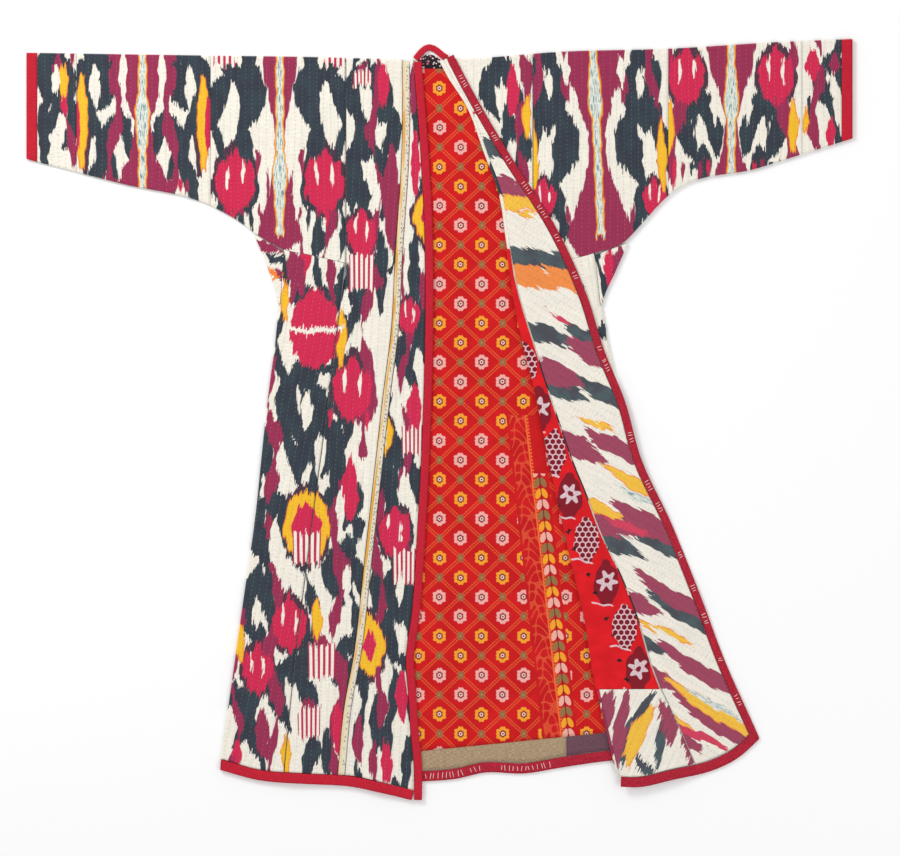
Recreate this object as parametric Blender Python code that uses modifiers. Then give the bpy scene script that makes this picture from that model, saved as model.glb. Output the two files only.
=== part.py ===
"""A quilted ikat robe laid flat, front up, with its right front folded open.

Left is -X and right is +X, as seen from above with the neck at +Y.  The robe
lies on z = 0.  Every piece of cloth is a wall that is worked out from the
outline tables below and from the heights at which the layers lie.
"""
import math
from collections import namedtuple

import bmesh
import bpy
import numpy as np

# ---- driving sizes, in metres ----
WALL = 0.002            # quilted cloth: print, thin wadding and lining
THIN = 0.001            # a single lining, facing or tape
SEAM = 0.0003           # clearance between pieces that are sewn together
JOIN = 0.0014           # clearance along a curved binding, whose points fall between the cloth's
FOLD_R = 0.002          # middle radius of a pressed fold
BACK_Z = WALL / 2       # middle of the back wall
FRONT_Z = BACK_Z + 2 * FOLD_R
LINING_Z = WALL + SEAM  # underside of the back lining
TAPE = 0.013            # width of the front edge binding
TAPE_HALF = 0.0055      # half the width of the stitched seam tape
NECK_TAPE = 0.010       # width of the neck binding
NECK_CLEAR = 0.007      # room between the back's curved top edge and the neck binding
HEM_TAPE = 0.017        # width of the hem binding
BAND = 0.0032           # thickness of a binding with the edge inside it
SLEEVE_SEAM = 0.164     # distance of the sleeve seam from the centre line
CUFF_X = 0.722          # distance of the cuff from the centre line
STRIPS = (0.164, 0.400, 0.634, 0.703)   # sleeve strip seams from body to cuff
ARMPIT = 0.326          # where the sleeve's lower seam meets the gusset
GUSSET_IN = 0.272       # inner corner of the gusset
ROLL_R = 0.0035         # middle radius of the soft fold in the right front
MID_Y = 0.0005          # middle of the outline along Y
BODY_TOP = 0.6285       # where the fronts stop under the shoulder fold
FLAP_TOP = 0.630        # where the folded-back front stops under it
FOLD_EASE = 0.0022      # how far inside the fold line its bend starts
TOP_LAP = 0.006         # width of cloth that turns over the shoulder fold

Edge = namedtuple("Edge", "at left right")
Line = namedtuple("Line", "at to")
Crease = namedtuple("Crease", "x0 y0 x1 y1 width height")

# side edges and side seams: distance from the centre line at each y
SIDE = [Edge(0.335, 0.328, 0.341), Edge(0.264, 0.299, 0.309), Edge(0.208, 0.283, 0.286),
        Edge(0.150, 0.286, 0.293), Edge(0.065, 0.297, 0.311), Edge(-0.060, 0.311, 0.325),
        Edge(-0.149, 0.320, 0.334), Edge(-0.320, 0.344, 0.352), Edge(-0.462, 0.364, 0.368),
        Edge(-0.610, 0.385, 0.385)]
SIDE_SEAM = [Edge(0.277, 0.165, 0.165), Edge(0.089, 0.188, 0.190), Edge(-0.200, 0.226, 0.240),
             Edge(-0.420, 0.253, 0.290), Edge(-0.611, 0.272, 0.330)]
# top edge and lower sleeve edge: y at each distance from the centre line
TOP = [Edge(0.0, 0.633, 0.633), Edge(0.088, 0.633, 0.636), Edge(0.200, 0.636, 0.645),
       Edge(0.400, 0.639, 0.651), Edge(0.600, 0.642, 0.663), Edge(0.722, 0.644, 0.668)]
UNDER = [Edge(0.164, 0.276, 0.277), Edge(0.230, 0.291, 0.283), Edge(0.272, 0.300, 0.294),
         Edge(0.326, 0.331, 0.316), Edge(0.349, 0.348, 0.340), Edge(0.393, 0.373, 0.388),
         Edge(0.560, 0.416, 0.443), Edge(0.722, 0.458, 0.494)]
# front gore seam of the left front, and the left front edge: x at each y
GORE_SEAM = [Line(0.632, -0.058), Line(0.479, -0.059), Line(0.287, -0.071), Line(0.159, -0.078),
             Line(0.054, -0.091), Line(-0.060, -0.104), Line(-0.247, -0.125),
             Line(-0.406, -0.143), Line(-0.499, -0.160), Line(-0.623, -0.172)]
FRONT_EDGE = [Line(0.632, -0.032), Line(0.479, -0.020), Line(0.355, -0.013), Line(0.198, -0.011),
              Line(0.072, -0.013), Line(-0.063, -0.018), Line(-0.196, -0.025),
              Line(-0.331, -0.034), Line(-0.424, -0.045), Line(-0.474, -0.041),
              Line(-0.550, -0.036), Line(-0.600, -0.031), Line(-0.668, -0.031)]
# right front: its fold and its bound edge, which lies out to the right: x at each y
FOLD = [Line(0.634, -0.004), Line(0.600, 0.014), Line(0.557, 0.042), Line(0.467, 0.077), Line(0.401, 0.101),
        Line(0.314, 0.115), Line(0.173, 0.137), Line(0.051, 0.167), Line(-0.072, 0.192),
        Line(-0.246, 0.230), Line(-0.335, 0.251), Line(-0.467, 0.273), Line(-0.585, 0.300),
        Line(-0.637, 0.312)]
FLAP_EDGE = [Line(0.640, 0.024), Line(0.579, 0.056), Line(0.529, 0.084), Line(0.452, 0.130),
             Line(0.345, 0.199), Line(0.214, 0.259), Line(0.124, 0.287), Line(0.039, 0.322),
             Line(-0.072, 0.354), Line(-0.175, 0.403), Line(-0.303, 0.455),
             Line(-0.425, 0.501), Line(-0.550, 0.557)]
FACING_SEAM = [Line(0.095, 0.176), Line(0.011, 0.204), Line(-0.080, 0.236), Line(-0.121, 0.253),
               Line(-0.193, 0.280), Line(-0.275, 0.319), Line(-0.339, 0.344),
               Line(-0.435, 0.373), Line(-0.471, 0.387)]
# lower edges, binding included: y at each x, and for the flap at each share of its width
HEM_BACK = [Line(-0.385, -0.609), Line(-0.250, -0.620), Line(-0.031, -0.630),
            Line(0.032, -0.625), Line(0.076, -0.615), Line(0.150, -0.616), Line(0.212, -0.606),
            Line(0.298, -0.594), Line(0.385, -0.590)]
HEM_LEFT = [Line(-0.385, -0.609), Line(-0.318, -0.627), Line(-0.232, -0.634),
            Line(-0.153, -0.639), Line(-0.095, -0.651), Line(-0.031, -0.667)]
HEM_FLAP = [Line(0.0, -0.638), Line(0.10, -0.639), Line(0.35, -0.626), Line(0.60, -0.612),
            Line(0.80, -0.590), Line(1.0, -0.556)]
HEM_UNDER = [Line(0.0, -0.592), Line(1.0, -0.612)]
# neckline of the back, binding included: y at each x
NECK = [Line(-0.047, 0.634), Line(-0.036, 0.648), Line(-0.020, 0.658), Line(-0.009, 0.656),
        Line(0.009, 0.643), Line(0.022, 0.634)]
MITRE = [Line(-0.471, 0.388), Line(-0.521, 0.412), Line(-0.612, 0.452)]
# soft folds of the laid cloth
CREASES = [Crease(-0.105, 0.30, -0.120, -0.28, 0.022, 0.0026),
           Crease(-0.225, 0.16, -0.275, -0.42, 0.030, 0.0020),
           Crease(-0.330, -0.30, -0.355, -0.56, 0.022, 0.0018),
           Crease(-0.120, -0.36, -0.105, -0.64, 0.026, 0.0034),
           Crease(-0.235, -0.44, -0.255, -0.63, 0.028, 0.0024),
           Crease(-0.320, 0.36, -0.200, 0.56, 0.030, 0.0020),
           Crease(-0.440, 0.44, -0.520, 0.60, 0.034, 0.0016),
           Crease(-0.610, 0.50, -0.630, 0.61, 0.026, 0.0013),
           Crease(0.330, 0.36, 0.230, 0.54, 0.030, 0.0020),
           Crease(0.450, 0.46, 0.500, 0.60, 0.034, 0.0016),
           Crease(0.600, 0.50, 0.640, 0.62, 0.026, 0.0013)]


def curve(rows, column="to"):
    """A smooth function through one column of a table, straight past its ends."""
    rows = sorted(rows, key=lambda row: row.at)
    xs = np.array([row.at for row in rows])
    ys = np.array([getattr(row, column) for row in rows])
    slopes = np.gradient(ys, xs)

    def at(x):
        i = int(np.clip(np.searchsorted(xs, x) - 1, 0, len(xs) - 2))
        if x <= xs[0]:
            return float(ys[0] + slopes[0] * (x - xs[0]))
        if x >= xs[-1]:
            return float(ys[-1] + slopes[-1] * (x - xs[-1]))
        h = xs[i + 1] - xs[i]
        t = (x - xs[i]) / h
        rise = (2 * t ** 3 - 3 * t ** 2 + 1) * ys[i] + (3 * t ** 2 - 2 * t ** 3) * ys[i + 1]
        bend = (t ** 3 - 2 * t ** 2 + t) * slopes[i] + (t ** 3 - t ** 2) * slopes[i + 1]
        return float(rise + bend * h)
    return at


side = {-1: curve(SIDE, "left"), 1: curve(SIDE, "right")}
side_seam = {-1: curve(SIDE_SEAM, "left"), 1: curve(SIDE_SEAM, "right")}
top = {-1: curve(TOP, "left"), 1: curve(TOP, "right")}
under = {-1: curve(UNDER, "left"), 1: curve(UNDER, "right")}
gore_seam = curve(GORE_SEAM)
front_edge = curve(FRONT_EDGE)
fold = curve(FOLD)
flap_edge = curve(FLAP_EDGE)
facing_seam = curve(FACING_SEAM)
hem_back = curve(HEM_BACK)
hem_left = curve(HEM_LEFT)
hem_flap = curve(HEM_FLAP)
hem_under = curve(HEM_UNDER)
neckline = curve(NECK)
mitre = curve(MITRE)


def mix(a, b, t):
    return a + (b - a) * t


def ease(x):
    x = min(1.0, max(0.0, x))
    return x * x * (3 - 2 * x)


def steps(count, low=0.0, high=1.0):
    return [mix(low, high, i / count) for i in range(count + 1)]


# ---- heights of the layers ----
def inset(x, y):
    """How far a point lies inside the folded outline of the robe."""
    way = 1 if x > 0 else -1
    reach = abs(x)
    gap = top[way](reach) - y
    if reach > ARMPIT:
        gap = min(gap, y - under[way](reach))
    elif y < 0.33:
        gap = min(gap, side[way](y) - reach)
    return gap


def crease_height(x, y):
    """Soft folds, as ridges that fade at their ends."""
    total = 0.0
    for fold_line in CREASES:
        dx = fold_line.x1 - fold_line.x0
        dy = fold_line.y1 - fold_line.y0
        span = dx * dx + dy * dy
        t = ((x - fold_line.x0) * dx + (y - fold_line.y0) * dy) / span
        off = abs((x - fold_line.x0) * dy - (y - fold_line.y0) * dx) / math.sqrt(span)
        along = ease((t + 0.25) / 0.4) * ease((1.25 - t) / 0.4)
        total += fold_line.height * along * math.exp(-(off / fold_line.width) ** 2)
    return total


def front_mid(x, y):
    """Middle of the front wall."""
    under_flap = ease((x - fold(y) + 0.02) / 0.03) if y < 0.64 and x > 0 else 0.0
    free = 1.0 if x > flap_edge(y) + 0.03 else 1.0 - under_flap
    return FRONT_Z + crease_height(x, y) * ease((inset(x, y) - 0.004) / 0.035) * free


def roll_radius(y):
    return mix(0.0016, ROLL_R, ease((0.60 - y) / 0.25))


def flap_mid(x, y):
    """Middle of the folded-back wall: high at its fold, resting on the floor past the side."""
    high = FRONT_Z + 2 * roll_radius(y)
    low = FRONT_Z + WALL + 0.0014
    z = mix(high, low, ease((x - fold(y) - 0.012) / 0.060))
    past = x - side[1](y) if y < 0.30 else -1.0
    wave = 0.0022 * math.sin(y * 17.0 + 0.6) ** 2 * ease((past - 0.03) / 0.05)
    return mix(z, BACK_Z, ease((past - 0.004) / 0.080)) + wave * ease((0.19 - past) / 0.04)


# ---- solids ----
def material(name, colour, roughness=0.85):
    mat = bpy.data.materials.get(name)
    if mat is None:
        mat = bpy.data.materials.new(name)
        mat.use_nodes = True
        shader = mat.node_tree.nodes["Principled BSDF"]
        shader.inputs["Base Color"].default_value = (*colour, 1.0)
        shader.inputs["Roughness"].default_value = roughness
    return mat


IKAT = ("ikat", (0.58, 0.10, 0.16))
BINDING = ("binding", (0.42, 0.02, 0.06))
LINING = ("lining", (0.62, 0.02, 0.02))
FACING = ("facing", (0.50, 0.12, 0.20))
BEIGE = ("beige_cloth", (0.40, 0.30, 0.22))
PURPLE = ("grey_purple_cloth", (0.22, 0.14, 0.18))
FLOWERED = ("flowered_cloth", (0.10, 0.06, 0.07))
STITCHED = ("stitched_tape", (0.75, 0.60, 0.30))


def sheet(name, rows, thick, cloth, side_of=0.0, cut=()):
    """A wall of cloth through rows of points; side_of 1 puts it above them, 0 about them."""
    wide = len(rows[0]) - 1
    high = len(rows) - 1
    bm = bmesh.new()
    bmesh.ops.create_grid(bm, x_segments=wide, y_segments=high, size=0.5)
    lost = []
    for face in bm.faces:
        middle = face.calc_center_median()
        cell = (int((middle.x + 0.5) * wide), int((middle.y + 0.5) * high))
        if cell in cut:
            lost.append(face)
    places = {v: (round((v.co.x + 0.5) * wide), round((v.co.y + 0.5) * high)) for v in bm.verts}
    for vert, (i, j) in places.items():
        x, y, z = rows[j][i]
        vert.co = (x, y - MID_Y, z)
    bmesh.ops.delete(bm, geom=lost, context="FACES")
    mesh = bpy.data.meshes.new(name)
    bm.to_mesh(mesh)
    bm.free()
    obj = bpy.data.objects.new(name, mesh)
    robe.objects.link(obj)
    mesh.materials.append(material(*cloth))
    solid = obj.modifiers.new("wall", "SOLIDIFY")
    solid.thickness = thick
    solid.offset = side_of
    solid.use_even_offset = True
    return obj


def over_top(x, way, back_run):
    """Points that carry a wall over the top edge at x: the fold and a run down the back."""
    y0 = top[way](abs(x)) - FOLD_R - WALL / 2
    turn = [(x, y0 + FOLD_R * math.sin(a), BACK_Z + FOLD_R + FOLD_R * math.cos(a))
            for a in steps(4, 0.0, math.pi)]
    return turn + [(x, y0 - back_run, BACK_Z)]


def back_half(way):
    """One back length, flat on the floor, from its sleeve and side seams to the centre."""
    rows = []
    columns = [0.0, 0.25, 0.5, 0.70, 0.745, 0.80, 0.90, 1.0] if way < 0 else \
        [0.0, 0.25, 0.5, 0.75, 0.85, 0.885, 0.94, 1.0]
    centre = SEAM / 2
    for t in steps(14):
        row = []
        for c in columns:
            x_top = mix(SLEEVE_SEAM - SEAM, centre, c)
            at_neck = -0.042 < way * x_top < 0.020
            y_top = neckline(way * x_top) - NECK_TAPE - NECK_CLEAR if at_neck else top[way](x_top) - 0.0115
            x_hem = mix(side_seam[way](-0.60) - SEAM, centre, c)
            y = mix(y_top, hem_back(way * x_hem) + HEM_TAPE + JOIN, t)
            outer = SLEEVE_SEAM if y > 0.25 else side_seam[way](y)
            row.append((way * mix(outer - JOIN, centre, c), y, 0.0))
        rows.append(row if way < 0 else row[::-1])
    name = "back_left" if way < 0 else "back_right"
    sheet(name, rows[::-1], WALL, IKAT, side_of=1.0)


def front_left():
    """The left front length, from the hem up and over the shoulder."""
    rows = []
    columns = steps(4)
    for t in steps(22):
        row = []
        for c in columns:
            x_hem = mix(-side_seam[-1](-0.61), gore_seam(-0.62), c)
            x_top = mix(-SLEEVE_SEAM, gore_seam(0.632), c)
            y_top = top[-1](abs(x_top)) - FOLD_R - WALL / 2 - 0.001
            y = mix(hem_left(x_hem) + HEM_TAPE + JOIN, y_top, t)
            outer = -SLEEVE_SEAM if y > 0.23 else -side_seam[-1](y)
            x = mix(outer + JOIN, gore_seam(y) - TAPE_HALF - JOIN, c)
            row.append((x, y, front_mid(x, y)))
        rows.append(row)
    ends = [over_top(p[0], -1, TOP_LAP) for p in rows[-1]]
    rows += [list(r) for r in zip(*ends)]
    sheet("front_left", rows, WALL, IKAT)


def front_gore_left():
    """The long wedge between the gore seam and the bound edge."""
    rows = []
    for t in steps(30):
        row = []
        for c in steps(2):
            x_hem = mix(gore_seam(-0.62), front_edge(-0.65) - TAPE, c)
            y = mix(hem_left(x_hem) + HEM_TAPE + JOIN, BODY_TOP, t)
            x = mix(gore_seam(y) + TAPE_HALF + JOIN, front_edge(y) - TAPE - JOIN, c)
            row.append((x, y, front_mid(x, y)))
        rows.append(row)
    ends = [over_top(p[0], -1, TOP_LAP) for p in rows[-1]]
    rows += [list(r) for r in zip(*ends)]
    sheet("front_gore_left", rows, WALL, IKAT)


def seam_tape_left():
    """The narrow stitched tape along the left gore seam."""
    rows = []
    for y in steps(20, hem_left(-0.172) + HEM_TAPE + JOIN, BODY_TOP):
        rows.append([(gore_seam(y) + d, y, front_mid(gore_seam(y), y) - 0.001)
                     for d in (-TAPE_HALF, 0.0, TAPE_HALF)])
    sheet("seam_tape_left", rows, WALL + 0.0004, STITCHED, side_of=1.0)


def flap_inner(y):
    """Inner edge of the binding along the folded-back front."""
    slope = (flap_edge(y + 0.01) - flap_edge(y - 0.01)) / 0.02
    return flap_edge(y) - TAPE * math.hypot(1.0, slope) - JOIN


def flap_point(y_top, c, t, share_low, share_high):
    """A point of the folded-back front at share c of its width and t down its length."""
    share = mix(share_low, share_high, c)
    y = mix(y_top, hem_flap(share) + HEM_TAPE + JOIN, t)
    low = fold(y) + FOLD_EASE + roll_radius(y)
    x = mix(low, flap_inner(y), share)
    return x, y


def front_right():
    """The right front length: under its fold, round it, and back out to the gore seam."""
    rows = []
    under_columns = [0.0, 0.33, 0.62, 0.84, 1.0]
    turn = steps(5, 0.0, math.pi)
    flap_columns = steps(4)[1:]
    for t in steps(22):
        row = []
        for c in under_columns:
            x_top = mix(SLEEVE_SEAM, fold(0.632), c)
            y_top = top[1](x_top) - FOLD_R - WALL / 2 - 0.001
            y = mix(hem_under(c) + HEM_TAPE + JOIN, y_top, t)
            outer = SLEEVE_SEAM if y > 0.25 else side_seam[1](y)
            x = mix(outer - JOIN, fold(y) + FOLD_EASE + roll_radius(y), c)
            row.append((x, y, front_mid(x, y) if c < 1 else FRONT_Z))
        y = row[-1][1]
        r = roll_radius(y)
        y_flap = mix(hem_flap(0) + HEM_TAPE + JOIN, FLAP_TOP, t)
        for a in turn[1:]:
            ya = mix(y, y_flap, a / math.pi)
            row.append((fold(ya) + FOLD_EASE + r - r * math.sin(a), ya,
                        FRONT_Z + r - r * math.cos(a)))
        for c in flap_columns:
            x, yf = flap_point(FLAP_TOP, c, 1 - t, 0.0, 0.5)
            row.append((x, yf, flap_mid(x, yf)))
        rows.append(row)
    last = rows[-1]
    lip_width = len(under_columns) - 1
    ends = [over_top(p[0], 1, TOP_LAP) for p in last[:lip_width]]
    lip = [list(r) for r in zip(*ends)]
    fill = len(last) - lip_width
    rows += [r + [r[-1]] * fill for r in lip]
    first_lip = 22      # the last row of the front itself; the lip over the shoulder follows
    cut = {(i, j) for i in range(lip_width - 1, len(last) - 1) for j in range(first_lip, len(rows) - 1)}
    rows = [r[::-1] for r in rows]
    cut = {(len(last) - 2 - i, j) for i, j in cut}
    return sheet("front_right", rows, WALL, IKAT, cut=cut)


def front_gore_right():
    """The right front gore, in the folded-back part, print side down."""
    rows = []
    for t in steps(22, 1.0, 0.0):
        row = []
        for c in steps(4):
            x, y = flap_point(FLAP_TOP, c, t, 0.5, 1.0)
            x += SEAM if c == 0 else 0.0
            row.append((x, y, flap_mid(x, y)))
        rows.append(row)
    sheet("front_gore_right", rows, WALL, IKAT)


def side_gore(way):
    """A wedge folded round the side, from the underarm seam to the hem."""
    rows = []
    hem = hem_left if way < 0 else hem_back
    levels = steps(3, 0.0, 1.0) + [1.0 + s for s in steps(13)[1:]]
    turn = steps(4, 0.0, math.pi)
    joint_y = 0.200
    for level in levels:
        row_front = []
        row_back = []
        for c in steps(3):
            x_top = mix(side_seam[way](0.277), GUSSET_IN, c)
            y_top = under[way](x_top) - SEAM
            if level <= 1.0:
                y = mix(y_top, joint_y, level)
                y_back = y
                outer = mix(GUSSET_IN, side[way](joint_y) - 0.004, level) - SEAM
            else:
                x_hem = mix(side_seam[way](-0.60), 0.384, c)
                y = mix(joint_y, hem(way * x_hem) + HEM_TAPE + JOIN, level - 1.0)
                y_back = mix(joint_y, hem_back(way * x_hem) + HEM_TAPE + JOIN, level - 1.0)
                outer = side[way](y) - FOLD_R - WALL / 2
            x = mix(side_seam[way](y) + SEAM, outer, c)
            row_front.append((way * x, y, front_mid(way * x, y) if level > 0 else FRONT_Z))
            x = mix(side_seam[way](y_back) + SEAM, outer, c)
            row_back.append((way * x, y_back, BACK_Z))
        arc = []
        for a in turn[1:-1]:
            s = a / math.pi
            x = mix(row_front[-1][0], row_back[-1][0], s) + way * FOLD_R * math.sin(a)
            arc.append((x, mix(row_front[-1][1], row_back[-1][1], s),
                        BACK_Z + FOLD_R + FOLD_R * math.cos(a)))
        rows.append(row_front + arc + row_back[::-1])
    cut = {(i, j) for i in range(3, 7) for j in range(3)}
    if way > 0:
        rows = rows[::-1]
        cut = {(i, len(rows) - 2 - j) for i, j in cut}
    name = "side_gore_left" if way < 0 else "side_gore_right"
    sheet(name, rows, WALL, IKAT, cut=cut)


def gusset(way):
    """A folded triangle under the arm."""
    rows = []
    turn = steps(4, 0.0, math.pi)
    for t in steps(4):
        y_out = mix(under[way](ARMPIT) - 0.006, 0.2045, t)
        x_out = side[way](y_out) - FOLD_R - WALL / 2
        x_in = mix(GUSSET_IN, side[way](0.200) - 0.004, t)
        y_in = mix(under[way](GUSSET_IN) - 0.004, 0.2045, t)
        x_in = min(x_in + SEAM, x_out - 0.0008)
        front = [(way * mix(x_in, x_out, c), mix(y_in, y_out, c), FRONT_Z) for c in steps(2)]
        back = [(x, y, BACK_Z) for x, y, z in front[::-1]]
        arc = [(way * (x_out + FOLD_R * math.sin(a)), y_out,
                BACK_Z + FOLD_R + FOLD_R * math.cos(a)) for a in turn[1:-1]]
        rows.append(front + arc + back)
    if way > 0:
        rows = rows[::-1]
    sheet("gusset_left" if way < 0 else "gusset_right", rows, WALL, IKAT)


def sleeve_strip(name, way, x0, x1, columns, wall=WALL, cloth=IKAT, front_z=FRONT_Z):
    """A strip folded over the top edge, its two lower ends meeting in the lower seam."""
    lengths = []
    back_z = wall / 2
    lip = [0.08, 0.55, 1.05]
    for x in steps(columns, x0 + SEAM / 2, x1 - SEAM / 2):
        y_top = top[way](x) - FOLD_R - wall / 2
        close = ease((x - ARMPIT + 0.012) / 0.024)
        y_low = under[way](x) + mix(SEAM, wall / 2, close)
        points = []
        for a in lip:
            z = back_z + FOLD_R + FOLD_R * mix(1.0, math.sin(a), close)
            points.append((way * x, y_low + FOLD_R * (1 - math.cos(a)), z))
        for s in steps(5)[:-1]:
            y = mix(y_low + FOLD_R, y_top, s)
            rise = front_mid(way * x, y) - FRONT_Z if s > 0 else 0.0
            points.append((way * x, y, front_z + rise))
        points += [(way * x, y_top + FOLD_R * math.sin(a), back_z + FOLD_R + FOLD_R * math.cos(a))
                   for a in steps(4, 0.0, math.pi)]
        points += [(way * x, mix(y_top, y_low + FOLD_R, s), back_z) for s in (0.5, 1.0)]
        for a in lip[::-1]:
            z = back_z + FOLD_R - FOLD_R * mix(1.0, math.sin(a), close)
            points.append((way * x, y_low + FOLD_R * (1 - math.cos(a)), z))
        lengths.append(points)
    rows = [list(r) for r in zip(*(lengths if way > 0 else lengths[::-1]))]
    sheet(name, rows, wall, cloth)


def sleeve(way):
    hand = "left" if way < 0 else "right"
    for part, x0, x1, columns in zip(("inner", "middle", "end"), STRIPS, STRIPS[1:], (6, 5, 2)):
        sleeve_strip(f"sleeve_{hand}_{part}", way, x0, x1, columns)
    sleeve_strip(f"cuff_binding_{hand}", way, STRIPS[-1], CUFF_X, 1, wall=0.0024,
                 cloth=BINDING, front_z=0.0012 + 2 * FOLD_R)


def band(name, path, width, height_of, cloth=BINDING, thick=BAND):
    """A flat tape along a path, its outer edge on the path and its inner edge to the left."""
    rows = []
    for i, (x, y) in enumerate(path):
        x0, y0 = path[max(i - 1, 0)]
        x1, y1 = path[min(i + 1, len(path) - 1)]
        run = math.hypot(x1 - x0, y1 - y0)
        nx, ny = -(y1 - y0) / run, (x1 - x0) / run
        rows.append([(x + nx * d, y + ny * d, height_of(x + nx * d, y + ny * d))
                     for d in (width, width / 2, 0.0)])
    sheet(name, rows, thick, cloth, side_of=1.0)


def front_band_z(x, y):
    return front_mid(x, y) - 0.0011


def flap_band_z(x, y):
    return max(0.0, flap_mid(x, y) - 0.0011)


def bindings():
    """Tapes round the hem, the front edges and the neck."""
    ys = steps(34, -0.6625, BODY_TOP)
    band("front_binding_left", [(front_edge(y), y) for y in ys], TAPE, front_band_z)
    ys = steps(26, -0.5545, 0.6400)
    band("front_binding_right", [(flap_edge(y), y) for y in ys], TAPE, flap_band_z)
    xs = steps(14, -0.3835, -0.0490)
    band("hem_binding_left", [(x, hem_left(x)) for x in xs], HEM_TAPE, front_band_z)
    xs = steps(22, -0.3835, 0.3835)
    band("hem_binding_back", [(x, hem_back(x)) for x in xs], HEM_TAPE, lambda x, y: 0.0, thick=0.0034)
    path = []
    for share in steps(10, 0.0, 0.985):
        y = hem_flap(share)
        path.append((mix(fold(y) + 0.004, flap_edge(y) - TAPE, share), y))
    band("hem_binding_flap", path, HEM_TAPE, flap_band_z)
    xs = steps(8, -0.0455, 0.0150)
    band("neck_binding", [(x, neckline(x)) for x in xs[::-1]], NECK_TAPE, lambda x, y: 0.0, thick=0.0034)


def linings():
    """What shows between the fronts: lining, hem facing and the piece inside the neck."""
    left, right = -0.10, 0.050

    def reach(y):
        return max(fold(y), 0.06) + right

    def hem_top(x):
        return hem_back(x) + HEM_TAPE + JOIN

    def flat(name, y_low, y_high, x_low, x_high, cloth, columns=12, count=4):
        rows = []
        for t in steps(count):
            row = []
            for c in steps(columns):
                x = mix(x_low(0), x_high(-0.59), c)
                for _ in range(4):
                    y = mix(y_low(x), y_high(x), t)
                    x = mix(x_low(y), x_high(y), c)
                row.append((x, y, LINING_Z))
            rows.append(row)
        sheet(name, rows, THIN, cloth, side_of=1.0)

    def beige_top(x):
        return -0.5775 + 0.10 * (x + 0.03)

    beige_end = 0.222
    flat("back_hem_facing", hem_top, beige_top,
         lambda y: left, lambda y: beige_end, BEIGE, count=1)
    flat("back_hem_piece", hem_top, beige_top, lambda y: beige_end + SEAM,
         lambda y: 0.345, PURPLE, columns=2, count=1)
    flat("back_lining", lambda x: beige_top(x) + SEAM, lambda x: 0.6160, lambda y: left if y < 0.60 else -0.05,
         lambda y: reach(y) if y < 0.55 else mix(reach(0.55), 0.05, ease((y - 0.55) / 0.06)),
         LINING, columns=6, count=12)
    flat("neck_facing", lambda x: 0.6163, lambda x: neckline(x) - NECK_TAPE - NECK_CLEAR,
         lambda y: -0.034, lambda y: 0.014, FLOWERED, columns=4, count=1)


def flap_cover():
    """Facing, lining and hem facing on the inside of the folded-back front, which is up."""
    lift = WALL / 2 + 0.0009

    def on_flap(x, y):
        return (x, y, flap_mid(x, y) + lift)

    def inner(y):
        return facing_seam(y) if y < 0.095 else fold(y) + mix(0.0205, 0.0055, ease((y - 0.095) / 0.2))

    rows = []
    for t in steps(18):
        row = []
        for c in steps(6):
            y_low = mix(-0.5925, hem_flap(1.0) + HEM_TAPE + JOIN, c)
            y = mix(y_low, 0.540, t)
            seam = inner(y) if y > -0.471 else mitre(y)
            row.append(on_flap(mix(seam + JOIN, flap_inner(y), c), y))
        rows.append(row)
    sheet("flap_facing", rows, THIN, FACING, side_of=1.0)

    rows = []
    for y in steps(14, -0.4680, 0.300):
        r = roll_radius(y)
        row = []
        out = r + lift
        for a in (1.45, 2.0, 2.6):
            row.append((fold(y) + FOLD_EASE + r - out * math.sin(a), y,
                        FRONT_Z + r - out * math.cos(a)))
        start = fold(y) + FOLD_EASE + r
        for c in steps(2):
            x = mix(start, inner(y) - JOIN, c)
            row.append(on_flap(x, y))
        rows.append(row)
    sheet("flap_lining", rows, THIN, LINING, side_of=1.0)

    rows = []
    for t in steps(3):
        row = []
        for c in steps(4):
            y_low = mix(hem_flap(0.0), -0.614, c) + HEM_TAPE + JOIN
            y = mix(y_low, -0.4683, t)
            x = mix(fold(y) + FOLD_EASE + roll_radius(y), mitre(y) - SEAM, c)
            row.append(on_flap(x, y))
        rows.append(row)
    sheet("flap_hem_facing", rows, THIN, FACING, side_of=1.0)


for old in list(bpy.data.objects):
    bpy.data.objects.remove(old, do_unlink=True)
robe = bpy.data.collections.new("chapan_robe")
bpy.context.scene.collection.children.link(robe)

for hand_side in (-1, 1):
    back_half(hand_side)
    side_gore(hand_side)
    gusset(hand_side)
    sleeve(hand_side)
front_left()
front_gore_left()
seam_tape_left()
front_right()
front_gore_right()
bindings()
linings()
flap_cover()
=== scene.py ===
# %% [markdown]
# # A quilted ikat robe, laid flat with one front folded open
#
# The robe is a chapan: a straight quilted coat with wide sleeves.  It lies on its back.  The
# left front is closed, and the right front is folded over so that its inside and the printed
# lining show.  Left is -X, right is +X and the neck is at +Y, all seen from above.
#
# The solid part is loaded first.  It stays where it is, and each of its pieces is
# covered by a finer piece of cloth with the same outline.

# %% load the solid robe
import math
from collections import namedtuple

import bmesh
import bpy
import numpy as np
from mathutils import Matrix, Vector


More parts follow.
